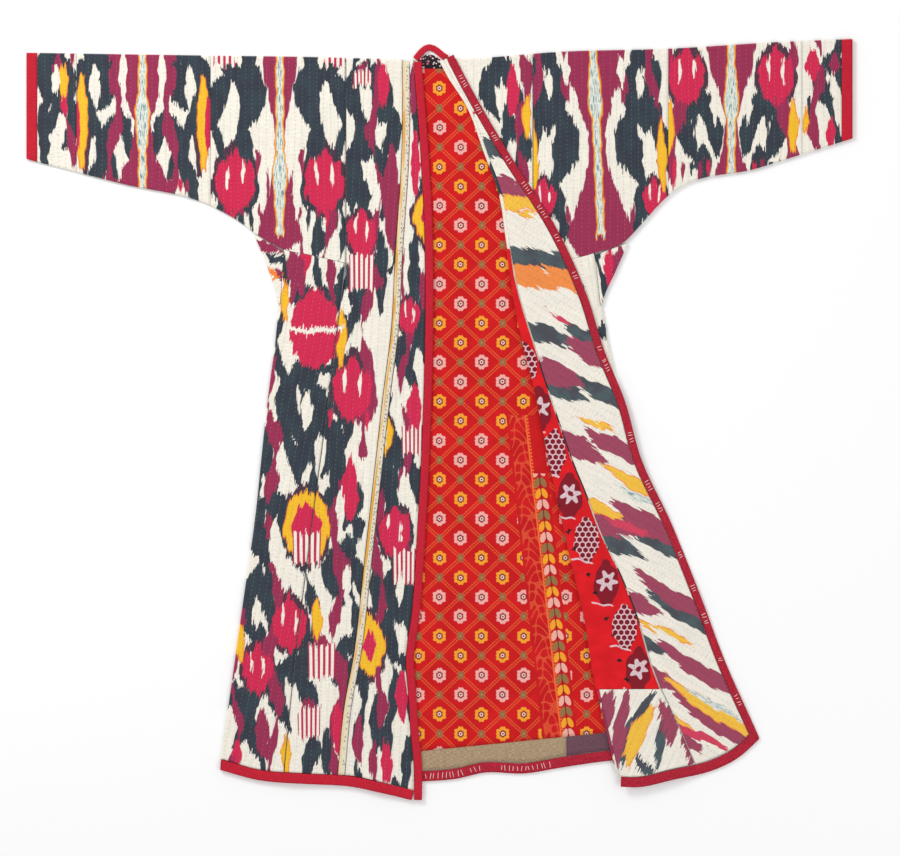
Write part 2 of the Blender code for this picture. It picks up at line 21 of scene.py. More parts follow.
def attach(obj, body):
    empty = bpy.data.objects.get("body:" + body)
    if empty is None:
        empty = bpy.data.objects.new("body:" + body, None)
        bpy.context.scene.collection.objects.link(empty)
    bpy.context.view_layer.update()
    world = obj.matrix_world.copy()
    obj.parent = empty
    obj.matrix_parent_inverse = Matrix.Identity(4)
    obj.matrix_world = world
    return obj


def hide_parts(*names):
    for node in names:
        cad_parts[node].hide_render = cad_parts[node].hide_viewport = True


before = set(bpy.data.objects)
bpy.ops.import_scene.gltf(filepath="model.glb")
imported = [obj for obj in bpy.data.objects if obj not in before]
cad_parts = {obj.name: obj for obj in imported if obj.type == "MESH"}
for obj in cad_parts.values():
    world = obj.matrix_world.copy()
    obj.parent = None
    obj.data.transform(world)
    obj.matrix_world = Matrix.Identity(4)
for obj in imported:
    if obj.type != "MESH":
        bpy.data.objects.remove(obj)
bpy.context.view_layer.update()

# %% [markdown]
# ## Outlines
#
# The same tables as the solid part, in metres.  The cloth is cut finer, so that the drawing
# in it comes out sharp, but its edges run along the same lines.

# %% sizes and outline tables
WALL = 0.002            # quilted cloth: print, thin wadding and lining
THIN = 0.001            # a single lining, facing or tape
SEAM = 0.0003           # clearance between pieces that are sewn together
JOIN = 0.0014           # clearance along a curved binding
FOLD_R = 0.002          # middle radius of a pressed fold
BACK_Z = WALL / 2       # middle of the back wall
FRONT_Z = BACK_Z + 2 * FOLD_R
LINING_Z = WALL + SEAM  # underside of the back lining
TAPE = 0.013            # width of the front edge binding
TAPE_HALF = 0.0055      # half the width of the stitched seam tape
NECK_TAPE = 0.010       # width of the neck binding
NECK_CLEAR = 0.007      # room between the back's curved top edge and the neck binding
HEM_TAPE = 0.017        # width of the hem binding
BAND = 0.0032           # thickness of a binding with the edge inside it
SLEEVE_SEAM = 0.164     # distance of the sleeve seam from the centre line
CUFF_X = 0.722          # distance of the cuff from the centre line
STRIPS = (0.164, 0.400, 0.634, 0.703)   # sleeve strip seams from body to cuff
ARMPIT = 0.326          # where the sleeve's lower seam meets the gusset
GUSSET_IN = 0.272       # inner corner of the gusset
ROLL_R = 0.0035         # middle radius of the soft fold in the right front
FOLD_ROOM = 0.0022      # room between the fold line and the start of its roll
MID_Y = 0.0005          # middle of the outline along Y
BODY_TOP = 0.6285       # where the gore and lining stop under the shoulder fold
FLAP_TOP = 0.630        # where the folded-back front stops under it
TOP_LAP = 0.006         # width of cloth that turns over the shoulder fold
TOP_CLEAR = 0.0115      # room between the top fold and the edge of the back
CELL = 0.004            # size of a cloth cell where the drawing shows

Edge = namedtuple("Edge", "at left right")
Line = namedtuple("Line", "at to")
Crease = namedtuple("Crease", "x0 y0 x1 y1 width height")

# side edges and side seams: distance from the centre line at each y
SIDE = [Edge(0.335, 0.328, 0.341), Edge(0.264, 0.299, 0.309), Edge(0.208, 0.283, 0.286),
        Edge(0.150, 0.286, 0.293), Edge(0.065, 0.297, 0.311), Edge(-0.060, 0.311, 0.325),
        Edge(-0.149, 0.320, 0.334), Edge(-0.320, 0.344, 0.352), Edge(-0.462, 0.364, 0.368),
        Edge(-0.610, 0.385, 0.385)]
SIDE_SEAM = [Edge(0.277, 0.165, 0.165), Edge(0.089, 0.188, 0.190), Edge(-0.200, 0.226, 0.240),
             Edge(-0.420, 0.253, 0.290), Edge(-0.611, 0.272, 0.330)]
# top edge and lower sleeve edge: y at each distance from the centre line
TOP = [Edge(0.0, 0.633, 0.633), Edge(0.088, 0.633, 0.636), Edge(0.200, 0.636, 0.645),
       Edge(0.400, 0.639, 0.651), Edge(0.600, 0.642, 0.663), Edge(0.722, 0.644, 0.668)]
UNDER = [Edge(0.164, 0.276, 0.277), Edge(0.230, 0.291, 0.283), Edge(0.272, 0.300, 0.294),
         Edge(0.326, 0.331, 0.316), Edge(0.349, 0.348, 0.340), Edge(0.393, 0.373, 0.388),
         Edge(0.560, 0.416, 0.443), Edge(0.722, 0.458, 0.494)]
# front gore seam of the left front, and the left front edge: x at each y
GORE_SEAM = [Line(0.632, -0.058), Line(0.479, -0.059), Line(0.287, -0.071), Line(0.159, -0.078),
             Line(0.054, -0.091), Line(-0.060, -0.104), Line(-0.247, -0.125),
             Line(-0.406, -0.143), Line(-0.499, -0.160), Line(-0.623, -0.172)]
FRONT_EDGE = [Line(0.632, -0.032), Line(0.479, -0.020), Line(0.355, -0.013), Line(0.198, -0.011),
              Line(0.072, -0.013), Line(-0.063, -0.018), Line(-0.196, -0.025),
              Line(-0.331, -0.034), Line(-0.424, -0.045), Line(-0.474, -0.041),
              Line(-0.550, -0.036), Line(-0.600, -0.031), Line(-0.668, -0.031)]
# right front: its fold and its bound edge, which lies out to the right: x at each y
FOLD = [Line(0.634, -0.004), Line(0.600, 0.014), Line(0.557, 0.042), Line(0.467, 0.077), Line(0.401, 0.101),
        Line(0.314, 0.115), Line(0.173, 0.137), Line(0.051, 0.167), Line(-0.072, 0.192),
        Line(-0.246, 0.230), Line(-0.335, 0.251), Line(-0.467, 0.273), Line(-0.585, 0.300),
        Line(-0.637, 0.312)]
FLAP_EDGE = [Line(0.640, 0.024), Line(0.579, 0.056), Line(0.529, 0.084), Line(0.452, 0.130),
             Line(0.345, 0.199), Line(0.214, 0.259), Line(0.124, 0.287), Line(0.039, 0.322),
             Line(-0.072, 0.354), Line(-0.175, 0.403), Line(-0.303, 0.455),
             Line(-0.425, 0.501), Line(-0.550, 0.557)]
FACING_SEAM = [Line(0.095, 0.176), Line(0.011, 0.204), Line(-0.080, 0.236), Line(-0.121, 0.253),
               Line(-0.193, 0.280), Line(-0.275, 0.319), Line(-0.339, 0.344),
               Line(-0.435, 0.373), Line(-0.471, 0.387)]
# lower edges, binding included: y at each x, and for the flap at each share of its width
HEM_BACK = [Line(-0.385, -0.609), Line(-0.250, -0.620), Line(-0.031, -0.630),
            Line(0.032, -0.625), Line(0.076, -0.615), Line(0.150, -0.616), Line(0.212, -0.606),
            Line(0.298, -0.594), Line(0.385, -0.590)]
HEM_LEFT = [Line(-0.385, -0.609), Line(-0.318, -0.627), Line(-0.232, -0.634),
            Line(-0.153, -0.639), Line(-0.095, -0.651), Line(-0.031, -0.667)]
HEM_FLAP = [Line(0.0, -0.638), Line(0.10, -0.639), Line(0.35, -0.626), Line(0.60, -0.612),
            Line(0.80, -0.590), Line(1.0, -0.556)]
HEM_UNDER = [Line(0.0, -0.592), Line(1.0, -0.612)]
# neckline of the back, binding included: y at each x
NECK = [Line(-0.047, 0.634), Line(-0.036, 0.648), Line(-0.020, 0.658), Line(-0.009, 0.656),
        Line(0.009, 0.643), Line(0.022, 0.634)]
MITRE = [Line(-0.471, 0.388), Line(-0.521, 0.412), Line(-0.612, 0.452)]
# soft folds of the laid cloth
CREASES = [Crease(-0.105, 0.30, -0.120, -0.28, 0.022, 0.0026),
           Crease(-0.225, 0.16, -0.275, -0.42, 0.030, 0.0020),
           Crease(-0.330, -0.30, -0.355, -0.56, 0.022, 0.0018),
           Crease(-0.120, -0.36, -0.105, -0.64, 0.026, 0.0034),
           Crease(-0.235, -0.44, -0.255, -0.63, 0.028, 0.0024),
           Crease(-0.320, 0.36, -0.200, 0.56, 0.030, 0.0020),
           Crease(-0.440, 0.44, -0.520, 0.60, 0.034, 0.0016),
           Crease(-0.610, 0.50, -0.630, 0.61, 0.026, 0.0013),
           Crease(0.330, 0.36, 0.230, 0.54, 0.030, 0.0020),
           Crease(0.450, 0.46, 0.500, 0.60, 0.034, 0.0016),
           Crease(0.600, 0.50, 0.640, 0.62, 0.026, 0.0013)]

# %% [markdown]
# ## Heights
#
# The back lies on the floor, the closed front lies a fold's thickness above it, and the
# open front rests on that.  Long soft ridges are laid into the fronts and sleeves:
# a few broad ones with the solid, and more narrow ones here, uneven in length and height.

# %% curves and layer heights
FINE_CREASES = [Crease(-0.148, 0.24, -0.160, 0.05, 0.009, 0.0009),
    Crease(-0.086, 0.16, -0.094, -0.02, 0.007, 0.0010),
                Crease(-0.118, -0.06, -0.150, -0.30, 0.010, 0.0011),
                Crease(-0.205, 0.08, -0.222, -0.10, 0.011, 0.0008),
                Crease(-0.262, -0.05, -0.300, -0.30, 0.010, 0.0009),
                Crease(-0.300, 0.02, -0.318, -0.17, 0.009, 0.0007),
                Crease(-0.180, -0.32, -0.205, -0.56, 0.012, 0.0012),
                Crease(-0.060, -0.30, -0.072, -0.52, 0.008, 0.0009),
                Crease(-0.290, -0.40, -0.312, -0.58, 0.009, 0.0008),
                Crease(-0.048, 0.12, -0.052, -0.10, 0.007, 0.0009),
                Crease(-0.350, -0.42, -0.366, -0.57, 0.008, 0.0006),
                Crease(-0.140, -0.52, -0.128, -0.63, 0.009, 0.0011),
                Crease(-0.215, 0.33, -0.260, 0.47, 0.010, 0.0008),
                Crease(-0.372, 0.42, -0.350, 0.58, 0.012, 0.0008),
                Crease(-0.500, 0.44, -0.470, 0.53, 0.009, 0.0007),
                Crease(-0.560, 0.47, -0.580, 0.60, 0.010, 0.0006),
                Crease(-0.660, 0.50, -0.668, 0.62, 0.008, 0.0005),
                Crease(0.300, 0.34, 0.262, 0.47, 0.010, 0.0008),
                Crease(0.385, 0.42, 0.365, 0.56, 0.011, 0.0007),
                Crease(0.470, 0.44, 0.500, 0.52, 0.009, 0.0007),
                Crease(0.560, 0.48, 0.540, 0.61, 0.011, 0.0006),
                Crease(0.665, 0.52, 0.672, 0.64, 0.008, 0.0005),
                Crease(-0.250, 0.52, -0.130, 0.60, 0.012, 0.0007),
                Crease(0.215, 0.56, 0.330, 0.61, 0.012, 0.0006)]


def curve(rows, column="to"):
    """A smooth function through one column of a table, straight past its ends."""
    rows = sorted(rows, key=lambda row: row.at)
    xs = np.array([row.at for row in rows])
    ys = np.array([getattr(row, column) for row in rows])
    slopes = np.gradient(ys, xs)

    def at(x):
        x = np.asarray(x, float)
        i = np.clip(np.searchsorted(xs, x) - 1, 0, len(xs) - 2)
        h = xs[i + 1] - xs[i]
        t = (x - xs[i]) / h
        rise = (2 * t ** 3 - 3 * t ** 2 + 1) * ys[i] + (3 * t ** 2 - 2 * t ** 3) * ys[i + 1]
        bend = (t ** 3 - 2 * t ** 2 + t) * slopes[i] + (t ** 3 - t ** 2) * slopes[i + 1]
        low = ys[0] + slopes[0] * (x - xs[0])
        high = ys[-1] + slopes[-1] * (x - xs[-1])
        return np.where(x <= xs[0], low, np.where(x >= xs[-1], high, rise + bend * h))
    return at


side = {-1: curve(SIDE, "left"), 1: curve(SIDE, "right")}
side_seam = {-1: curve(SIDE_SEAM, "left"), 1: curve(SIDE_SEAM, "right")}
top = {-1: curve(TOP, "left"), 1: curve(TOP, "right")}
under = {-1: curve(UNDER, "left"), 1: curve(UNDER, "right")}
gore_seam, front_edge, fold, flap_edge = (curve(t) for t in (GORE_SEAM, FRONT_EDGE, FOLD, FLAP_EDGE))
facing_seam, neckline, mitre = (curve(t) for t in (FACING_SEAM, NECK, MITRE))
hem_back, hem_left, hem_flap, hem_under = (curve(t) for t in (HEM_BACK, HEM_LEFT, HEM_FLAP, HEM_UNDER))


def mix(a, b, t):
    return a + (b - a) * t


def ease(x):
    x = np.clip(x, 0.0, 1.0)
    return x * x * (3 - 2 * x)


def steps(count, low=0.0, high=1.0):
    return np.linspace(low, high, count + 1)


def cells(length, size):
    return max(1, int(round(length / size)))


def by_side(x, pair, value):
    """The curve of the side that x is on."""
    return np.where(x > 0, pair[1](value), pair[-1](value))


def inset(x, y):
    """How far a point lies inside the folded outline of the robe."""
    reach = np.abs(x)
    gap = by_side(x, top, reach) - y
    arm = np.minimum(gap, y - by_side(x, under, reach))
    body = np.minimum(gap, by_side(x, side, y) - reach)
    return np.where(reach > ARMPIT, arm, np.where(y < 0.33, body, gap))


def ridges(x, y, table):
    """Soft folds, as ridges that fade at their ends."""
    total = np.zeros(np.broadcast(x, y).shape)
    for line in table:
        dx, dy = line.x1 - line.x0, line.y1 - line.y0
        span = dx * dx + dy * dy
        t = ((x - line.x0) * dx + (y - line.y0) * dy) / span
        off = np.abs((x - line.x0) * dy - (y - line.y0) * dx) / math.sqrt(span)
        along = ease((t + 0.25) / 0.4) * ease((1.25 - t) / 0.4)
        total = total + line.height * along * np.exp(-(off / line.width) ** 2)
    return total


def front_mid(x, y, fine=True):
    """Middle of the front wall."""
    x, y = np.asarray(x, float), np.asarray(y, float)
    under_flap = np.where((y < 0.64) & (x > 0), ease((x - fold(y) + 0.02) / 0.03), 0.0)
    free = np.where(x > flap_edge(y) + 0.03, 1.0, 1.0 - under_flap)
    folds = ridges(x, y, CREASES) + (ridges(x, y, FINE_CREASES) if fine else 0.0)
    return FRONT_Z + folds * ease((inset(x, y) - 0.004) / 0.035) * free


def roll_radius(y):
    return mix(0.0016, ROLL_R, ease((0.60 - y) / 0.25))


def flap_mid(x, y):
    """Middle of the folded-back wall: high at its fold, resting on the floor past the side."""
    x, y = np.asarray(x, float), np.asarray(y, float)
    high = FRONT_Z + 2 * roll_radius(y)
    low = FRONT_Z + WALL + 0.0014
    z = mix(high, low, ease((x - fold(y) - 0.012) / 0.060))
    past = np.where(y < 0.30, x - side[1](y), -1.0)
    wave = 0.0022 * np.sin(y * 17.0 + 0.6) ** 2 * ease((past - 0.03) / 0.05)
    return mix(z, BACK_Z, ease((past - 0.004) / 0.080)) + wave * ease((0.19 - past) / 0.04)


print(len(CREASES) + len(FINE_CREASES), "soft folds; the front wall is",
      round(float(front_mid(-0.105, 0.1) - WALL / 2) * 1000, 1), "mm off the floor at its first fold")

# %% [markdown]
# ## The drawing
#
# Ikat is dyed before it is woven: bundles of warp thread are tied and dipped, and each
# colour then bleeds along the thread.  A drawing is a list of plain strokes, each a dye and
# a row of (x, y, half-width) in millimetres.  `strokes` turns them into a depth for each dye
# at each point of the cloth, and the material later slips that depth along each thread, which
# gives the ragged ends.
#
# A maker of such cloth has a handful of motifs and sets them down again and again at other
# sizes: blade, flame, horn, lotus, comb, rosette, medallion, split disc.  Each is one
# function here, and the drawings below only say where each one goes.  A sleeve strip is one
# loom width and is the same on both sides of its middle, so its drawing is half of it.  The
# back is cut from the same cloth, four drawings one below the other.

# %% motifs
def lens(dye, x, y0, y1, *widths):
    """An upright stroke from y0 down to y1, its half-widths spread evenly along it."""
    ys = np.linspace(y0, y1, len(widths))
    return [(dye, [(x, y, w) for y, w in zip(ys, widths)])]


def bow(dye, x0, y0, x1, y1, swell, width):
    """A stroke that leans from one point to another, bulges sideways and tapers at both ends."""
    return [(dye, [(x0 + (x1 - x0) * t + swell * np.sin(np.pi * t), y0 + (y1 - y0) * t,
                    width * (0.28 + 0.72 * np.sin(np.pi * t))) for t in np.linspace(0, 1, 6)])]


def blade(y0, y1, swell):
    """The spine of a strip: a pale flecked blade with a yellow edge, swelling at one height."""
    far = abs(y1 - y0)
    shape = [5.0 + 6.5 * np.exp(-((t - swell) * far / 34) ** 2) for t in np.linspace(0, 1, 13)]
    return lens("yellow", 0, y0, y1, *[w + 2.6 for w in shape]) + lens("pale", 0, y0, y1, *shape)


def flame(y0, y1, wide):
    """A plum flame behind the spine, pinched in the middle."""
    return lens("plum", 0, y0, y1, wide, wide * 0.86, wide * 0.5, wide * 0.24, wide * 0.3, wide * 0.62, wide)


def horn(x, y, size, way=1):
    """An arched horn: an indigo hook round a plain core with a small almond in it."""
    size = size * 1.25
    out = bow("indigo", x - 4 * way * size, y + 46 * size, x + 6 * way * size, y - 44 * size,
        -14 * way * size, 14 * size)
    out += bow("indigo", x + 2 * way * size, y + 44 * size, x + 38 * way * size, y - 38 * size,
        12 * way * size, 13 * size)
    out += lens("indigo", x + 12 * way * size, y + 58 * size, y + 20 * size, 5 * size, 17 * size, 8 * size)
    out += lens("cream", x + 13 * way * size, y + 16 * size, y - 30 * size, 2 * size, 6.5 * size, 7 * size,
        2 * size)
    return out + lens("indigo", x + 14 * way * size, y - 4 * size, y - 30 * size, 1.0, 4.2 * size, 1.0)


def lotus(x, y, size):
    """A crimson lobed bud, slashed with plain cloth."""
    size = size * 1.2
    out = lens("aubergine", x, y + 56 * size, y - 50 * size, 6 * size, 20 * size, 33 * size, 38 * size,
        30 * size, 10 * size)
    out += lens("crimson", x, y + 44 * size, y - 46 * size, 4 * size, 13 * size, 25 * size, 30 * size,
        22 * size, 7 * size)
    out += lens("crimson", x - 22 * size, y + 26 * size, y - 16 * size, 3 * size, 9 * size, 5 * size)
    out += lens("crimson", x + 22 * size, y + 22 * size, y - 20 * size, 3 * size, 9 * size, 5 * size)
    for k, (dx, top_y, low_y) in enumerate(((-12, 30, -6), (12, 24, -14))):
        out += lens("cream", x + dx * size, y + top_y * size, y + low_y * size, 1.2, 3.4 * size, 1.4)
    return out


def comb(x, y, wide, deep):
    """A cap with teeth hanging from it."""
    return lens("plum", x, y + 7, y, wide * 0.5,
        wide * 0.62) + [("comb", [(x, y, wide), (x, y - deep, wide * 0.95)])]


def drips(x, y, dyes, step=11):
    """Short tails below a motif, each of its own length."""
    out = []
    for k, dye in enumerate(dyes):
        long = (22, 34, 17, 28, 38)[k % 5]
        out += lens(dye, x + k * step, y, y - long, 2.6, 4.0, 1.2)
    return out


def vine(dye, x, y0, y1, wide, sway=9):
    """A long uneven stem of one colour, the ground that the other motifs stand against."""
    ys = np.linspace(y0, y1, max(4, int(abs(y1 - y0) / 16)))
    return [(dye, [(x + sway * np.sin(y / 31.0 + x), y,
        wide * (0.62 + 0.38 * np.sin(y / 14.0 + x * 0.7) + 0.22 * np.sin(y / 37.0 - x)))
                   for y in ys])]


def rosette(x, y, size, eye="cream"):
    """A half-round yellow disc with a dark outline and an eye, cut by a seam."""
    out = lens("aubergine", x, y + 54 * size, y - 54 * size, 10 * size, 25 * size, 33 * size, 25 * size,
        10 * size)
    out += lens("yellow", x, y + 44 * size, y - 44 * size, 8 * size, 20 * size, 27 * size, 20 * size,
        8 * size)
    return out + lens(eye, x, y + 24 * size, y - 24 * size, 3 * size, 11 * size, 3 * size)


def halo(x, y, size):
    """A round medallion: a yellow halo with a crimson heart, standing on a comb."""
    out = lens("aubergine", x, y + 62 * size, y - 52 * size, 22 * size, 40 * size, 46 * size, 40 * size,
        22 * size)
    out += lens("yellow", x, y + 52 * size, y - 42 * size, 18 * size, 36 * size, 41 * size, 36 * size,
        18 * size)
    out += lens("crimson", x, y + 46 * size, y - 12 * size, 5 * size, 17 * size, 26 * size, 24 * size)
    return out + [("comb", [(x, y - 6 * size, 25 * size), (x, y - 58 * size, 24 * size)])]


def split(x, y, size):
    """A crimson disc cut across by plain cloth, dark horns above and below it."""
    out = bow("indigo", x - 44 * size, y + 60 * size, x - 8 * size, y + 78 * size, 0, 15 * size)
    out += bow("indigo", x + 10 * size, y + 80 * size, x + 46 * size, y + 56 * size, 0, 15 * size)
    out += lens("crimson", x, y + 54 * size, y - 56 * size, 22 * size, 42 * size, 48 * size, 42 * size,
        18 * size)
    out += [("cream", [(x - 52 * size, y + 3, 3.0), (x - 6, y - 2, 4.2), (x + 52 * size, y + 4, 3.0)])]
    return out + bow("indigo", x - 40 * size, y - 66 * size, x + 34 * size, y - 78 * size, 0, 13 * size)


def leaf(x, y, long, wide, turn, dye):
    """A leaning leaf, for the cloth cut on the slant."""
    dx, dy = np.cos(turn) * long / 2, np.sin(turn) * long / 2
    return [(dye, [(x + dx * t, y + dy * t + 5 * np.sin(2.2 * t), wide * (1.05 - 0.85 * abs(t) ** 1.6))
                   for t in (-1.0, -0.6, -0.2, 0.25, 0.65, 1.0)])]


# %% the drawings
# Each strip drawing runs from its top, y = 665, down; only x >= 0 is drawn for the folded ones.
STRIP_HORNS = (vine("indigo", 84, 668, 380, 15) + vine("plum", 50, 640, 380, 10) + flame(668, 380, 60) +
    horn(68, 600, 1.0) + horn(52, 474, 0.9, -1) + lens("cream", 34, 640, 560, 3, 8, 5, 2) +
               lens("aubergine", 101, 610, 430, 4, 11, 13, 10, 4) +
               lens("yellow", 106, 600, 440, 4, 9, 12, 8, 4) +
               lens("crimson", 116, 560, 480, 3, 8, 4) +
               drips(44, 420, ("plum", "indigo", "crimson", "plum")) +
               blade(668, 370, 0.46))
STRIP_LOTUS = (vine("indigo", 60, 668, 256, 17) + vine("indigo", 104, 600, 256, 10) +
    vine("plum", 30, 470, 256, 9) + vine("plum", 84, 380, 256, 8) + flame(668, 330, 34) +
    horn(62, 566, 1.15) + horn(84, 640, 0.7, -1) + lotus(78, 422, 0.95) +
               [("comb", [(92, 664, 24), (92, 622, 24)])] +
               drips(34, 372, ("plum", "indigo", "plum", "crimson", "indigo"), 16) +
               lens("cream", 30, 470, 360, 2, 8, 6, 2) + blade(668, 330, 0.72))
STRIP_BLADES = (vine("indigo", 70, 620, 330, 17) + vine("plum", 104, 668, 520, 10) +
    vine("aubergine", 108, 540, 330, 9) + flame(668, 330, 58) + horn(72, 478, 1.25) +
    horn(92, 596, 0.8, -1) + lens("plum", 50, 620, 560, 3, 9, 3) +
                lens("cream", 48, 640, 590, 2, 7, 3) + lens("yellow", 112, 520, 400, 3, 10, 3) +
                lotus(96, 392, 0.55) + drips(36, 372, ("indigo", "plum", "indigo"), 20) +
                blade(668, 330, 0.30))
STRIP_BUDS = (vine("indigo", 54, 560, 390, 14) + vine("plum", 100, 668, 390, 13) + flame(668, 390, 44) +
    lotus(78, 606, 0.85) + horn(70, 512, 0.95, -1) + lens("yellow", 108, 560, 470, 3, 10, 4) +
              drips(40, 452, ("crimson", "plum", "indigo", "plum", "crimson"), 15) +
              lens("cream", 30, 590, 520, 2, 6, 2) +
              blade(668, 390, 0.38))
LEFT_END = (vine("indigo", -690, 650, 440, 8) + vine("plum", -648, 650, 440, 7) + horn(-684, 604, 0.85) +
    horn(-650, 520, 0.8, -1) + lens("yellow", -657, 622, 560, 3, 10, 7, 2) +
            lens("crimson", -655, 566, 530, 2, 6, 2) + lens("indigo", -690, 500, 452, 3, 10, 8, 3) +
            lens("plum", -668, 640, 600, 3, 9, 4))
RIGHT_END = (vine("plum", 660, 668, 450, 9) + vine("indigo", 690, 668, 450, 7) +
    lens("crimson", 652, 640, 600, 8, 14, 5) + horn(676, 590, 0.75) +
    lens("indigo", 648, 560, 500, 3, 9, 7, 2) +
             lens("yellow", 640, 548, 498, 2, 6, 2) + lens("plum", 690, 640, 606, 4, 9, 3) +
             lens("crimson", 684, 530, 480, 3, 9, 4))
LEFT_BODY = (
    vine("plum", -186, 300, 210, 12, 4) + vine("indigo", -212, 310, 200, 10, 4) +
    vine("plum", -258, 310, 210, 11, 4) + lens("crimson", -232, 306, 262, 3, 10, 6, 2) +
    vine("indigo", -146, 640, 220, 12) + vine("plum", -112, 640, 240, 10) + vine("indigo", -84, 600, 260, 9) +
    vine("indigo", -276, 300, 60, 8) + vine("indigo", -168, 240, -120, 14) +
    vine("plum", -126, 240, -60, 11) +
    vine("plum", -292, 110, -200, 12) + vine("indigo", -228, 70, -120, 13) +
    vine("indigo", -318, 20, -620, 14) +
    vine("plum", -178, -110, -620, 13) + vine("indigo", -226, -250, -640, 15) +
    vine("indigo", -150, -180, -600, 11) +
    vine("plum", -290, -250, -620, 12) + vine("plum", -358, -300, -620, 11) +
    horn(-140, 566, 0.9) + horn(-92, 508, 0.8, -1) + comb(-134, 612, 16, 26) +
    lens("crimson", -98, 620, 552, 4, 11, 8, 3) +
    horn(-136, 436, 1.05) + horn(-96, 398, 0.8, -1) + lens("plum", -84, 480, 300, 3, 12, 15, 12, 4) +
    lotus(-136, 332, 0.7) + comb(-136, 290, 22, 58) +
    lens("indigo", -102, 330, 190, 4, 13, 9, 3) + horn(-150, 212, 0.8, -1) + split(-218, 158, 0.92) +
    lens("yellow", -172, 190, 96, 4, 11, 8, 3) + lens("plum", -242, 292, 222, 3, 10, 4) +
    lens("yellow", -270, 244, 180, 2, 8, 3) +
    lotus(-152, 60, 0.92) + drips(-190, 18, ("crimson", "indigo", "crimson", "plum", "crimson"), 16) +
    horn(-250, 26, 1.1) + horn(-292, -62, 0.95) + horn(-196, -44, 0.9, -1) +
    lens("yellow", -312, 70, -16, 3, 9, 4) +
    halo(-232, -190, 1.0) + lens("crimson", -156, -60, -170, 3, 12, 15, 6) + horn(-160, -140, 0.85, -1) +
    horn(-304, -196, 1.05) + horn(-176, -270, 0.9) + horn(-334, -330, 0.9) +
    lotus(-262, -352, 0.8) + comb(-206, -390, 24, 58) + lens("indigo", -300, -250, -330, 3, 13, 6) +
    drips(-236, -246, ("indigo", "cream", "indigo"), 16) +
    lens("yellow", -214, -310, -376, 3, 11, 5) + lens("yellow", -348, -360, -420, 3, 9, 4) +
    lotus(-318, -430, 0.72) +
    horn(-160, -436, 0.95) + horn(-270, -480, 1.0) + horn(-350, -520, 0.9, -1) +
    lens("crimson", -178, -496, -580, 4, 12, 8, 3) +
    comb(-228, -500, 20, 54) + lens("plum", -310, -500, -580, 3, 13, 6) +
    lens("indigo", -196, -540, -612, 4, 12, 6) + lens("yellow", -268, -552, -612, 3, 10, 4) +
    lens("crimson", -354, -560, -602, 3, 9, 4))
LEFT_GORE = (
    vine("indigo", -36, 420, 60, 10) + vine("plum", -60, 300, -120, 8) + vine("indigo", -84, 40, -660, 12) +
    vine("plum", -108, -120, -640, 10) + vine("indigo", -56, -180, -660, 9) +
    vine("indigo", -140, -380, -640, 9) +
    lens("plum", -46, 620, 540, 3, 8, 4) + lens("indigo", -40, 560, 470, 3, 8, 6, 3) +
    lens("crimson", -42, 500, 400, 3, 9, 4) +
    rosette(-20, 358, 1.0, "crimson") + lens("indigo", -44, 290, 190, 3, 12, 9, 3) +
    lens("plum", -28, 260, 200, 3, 8, 3) +
    lotus(-52, 186, 0.5) + horn(-52, 110, 0.85) + lens("crimson", -44, 60, -10, 4, 14, 8) +
    comb(-48, -12, 18, 46) +
    rosette(-98, -20, 0.7) + horn(-78, -106, 0.95) + lotus(-78, -190, 0.75) + comb(-62, -228, 20, 56) +
    horn(-56, -286, 0.8, -1) +
    lens("indigo", -112, -240, -330, 3, 11, 5) + rosette(-122, -392, 1.05, "crimson") +
    horn(-78, -372, 0.9) + lens("crimson", -66, -440, -520, 3, 12, 5) +
    lens("indigo", -110, -480, -570, 4, 13, 6) + lens("plum", -142, -520, -600, 3, 10, 4) +
    lens("crimson", -92, -560, -630, 3, 11, 5) + lens("indigo", -58, -560, -640, 3, 10, 4))
RIGHT_BODY = (
    vine("indigo", 110, 640, 400, 12) + vine("plum", 146, 640, 420, 11) + vine("crimson", 222, 300, 130, 14) +
    vine("plum", 306, 350, 150, 11) + vine("indigo", 284, 350, 150, 9) +
    lens("crimson", 296, 300, 240, 3, 9, 4) + vine("indigo", 230, 120, -600, 14) +
    vine("plum", 290, 60, -600, 14) +
    horn(96, 576, 0.85) + lens("crimson", 128, 618, 540, 4, 12, 7) +
    lens("yellow", 152, 566, 500, 3, 9, 3) + horn(136, 472, 0.8, -1) +
    lens("crimson", 214, 250, 150, 4, 14, 10, 4) + lens("plum", 250, 230, 120, 4, 13, 8, 3) +
    horn(200, 90, 0.9) +
    lotus(240, 20, 0.8) + horn(262, -90, 0.95) + halo(236, -220, 0.8) + horn(290, -330, 1.0) +
    lotus(280, -440, 0.8) + horn(320, -540, 0.9))
FACING = []
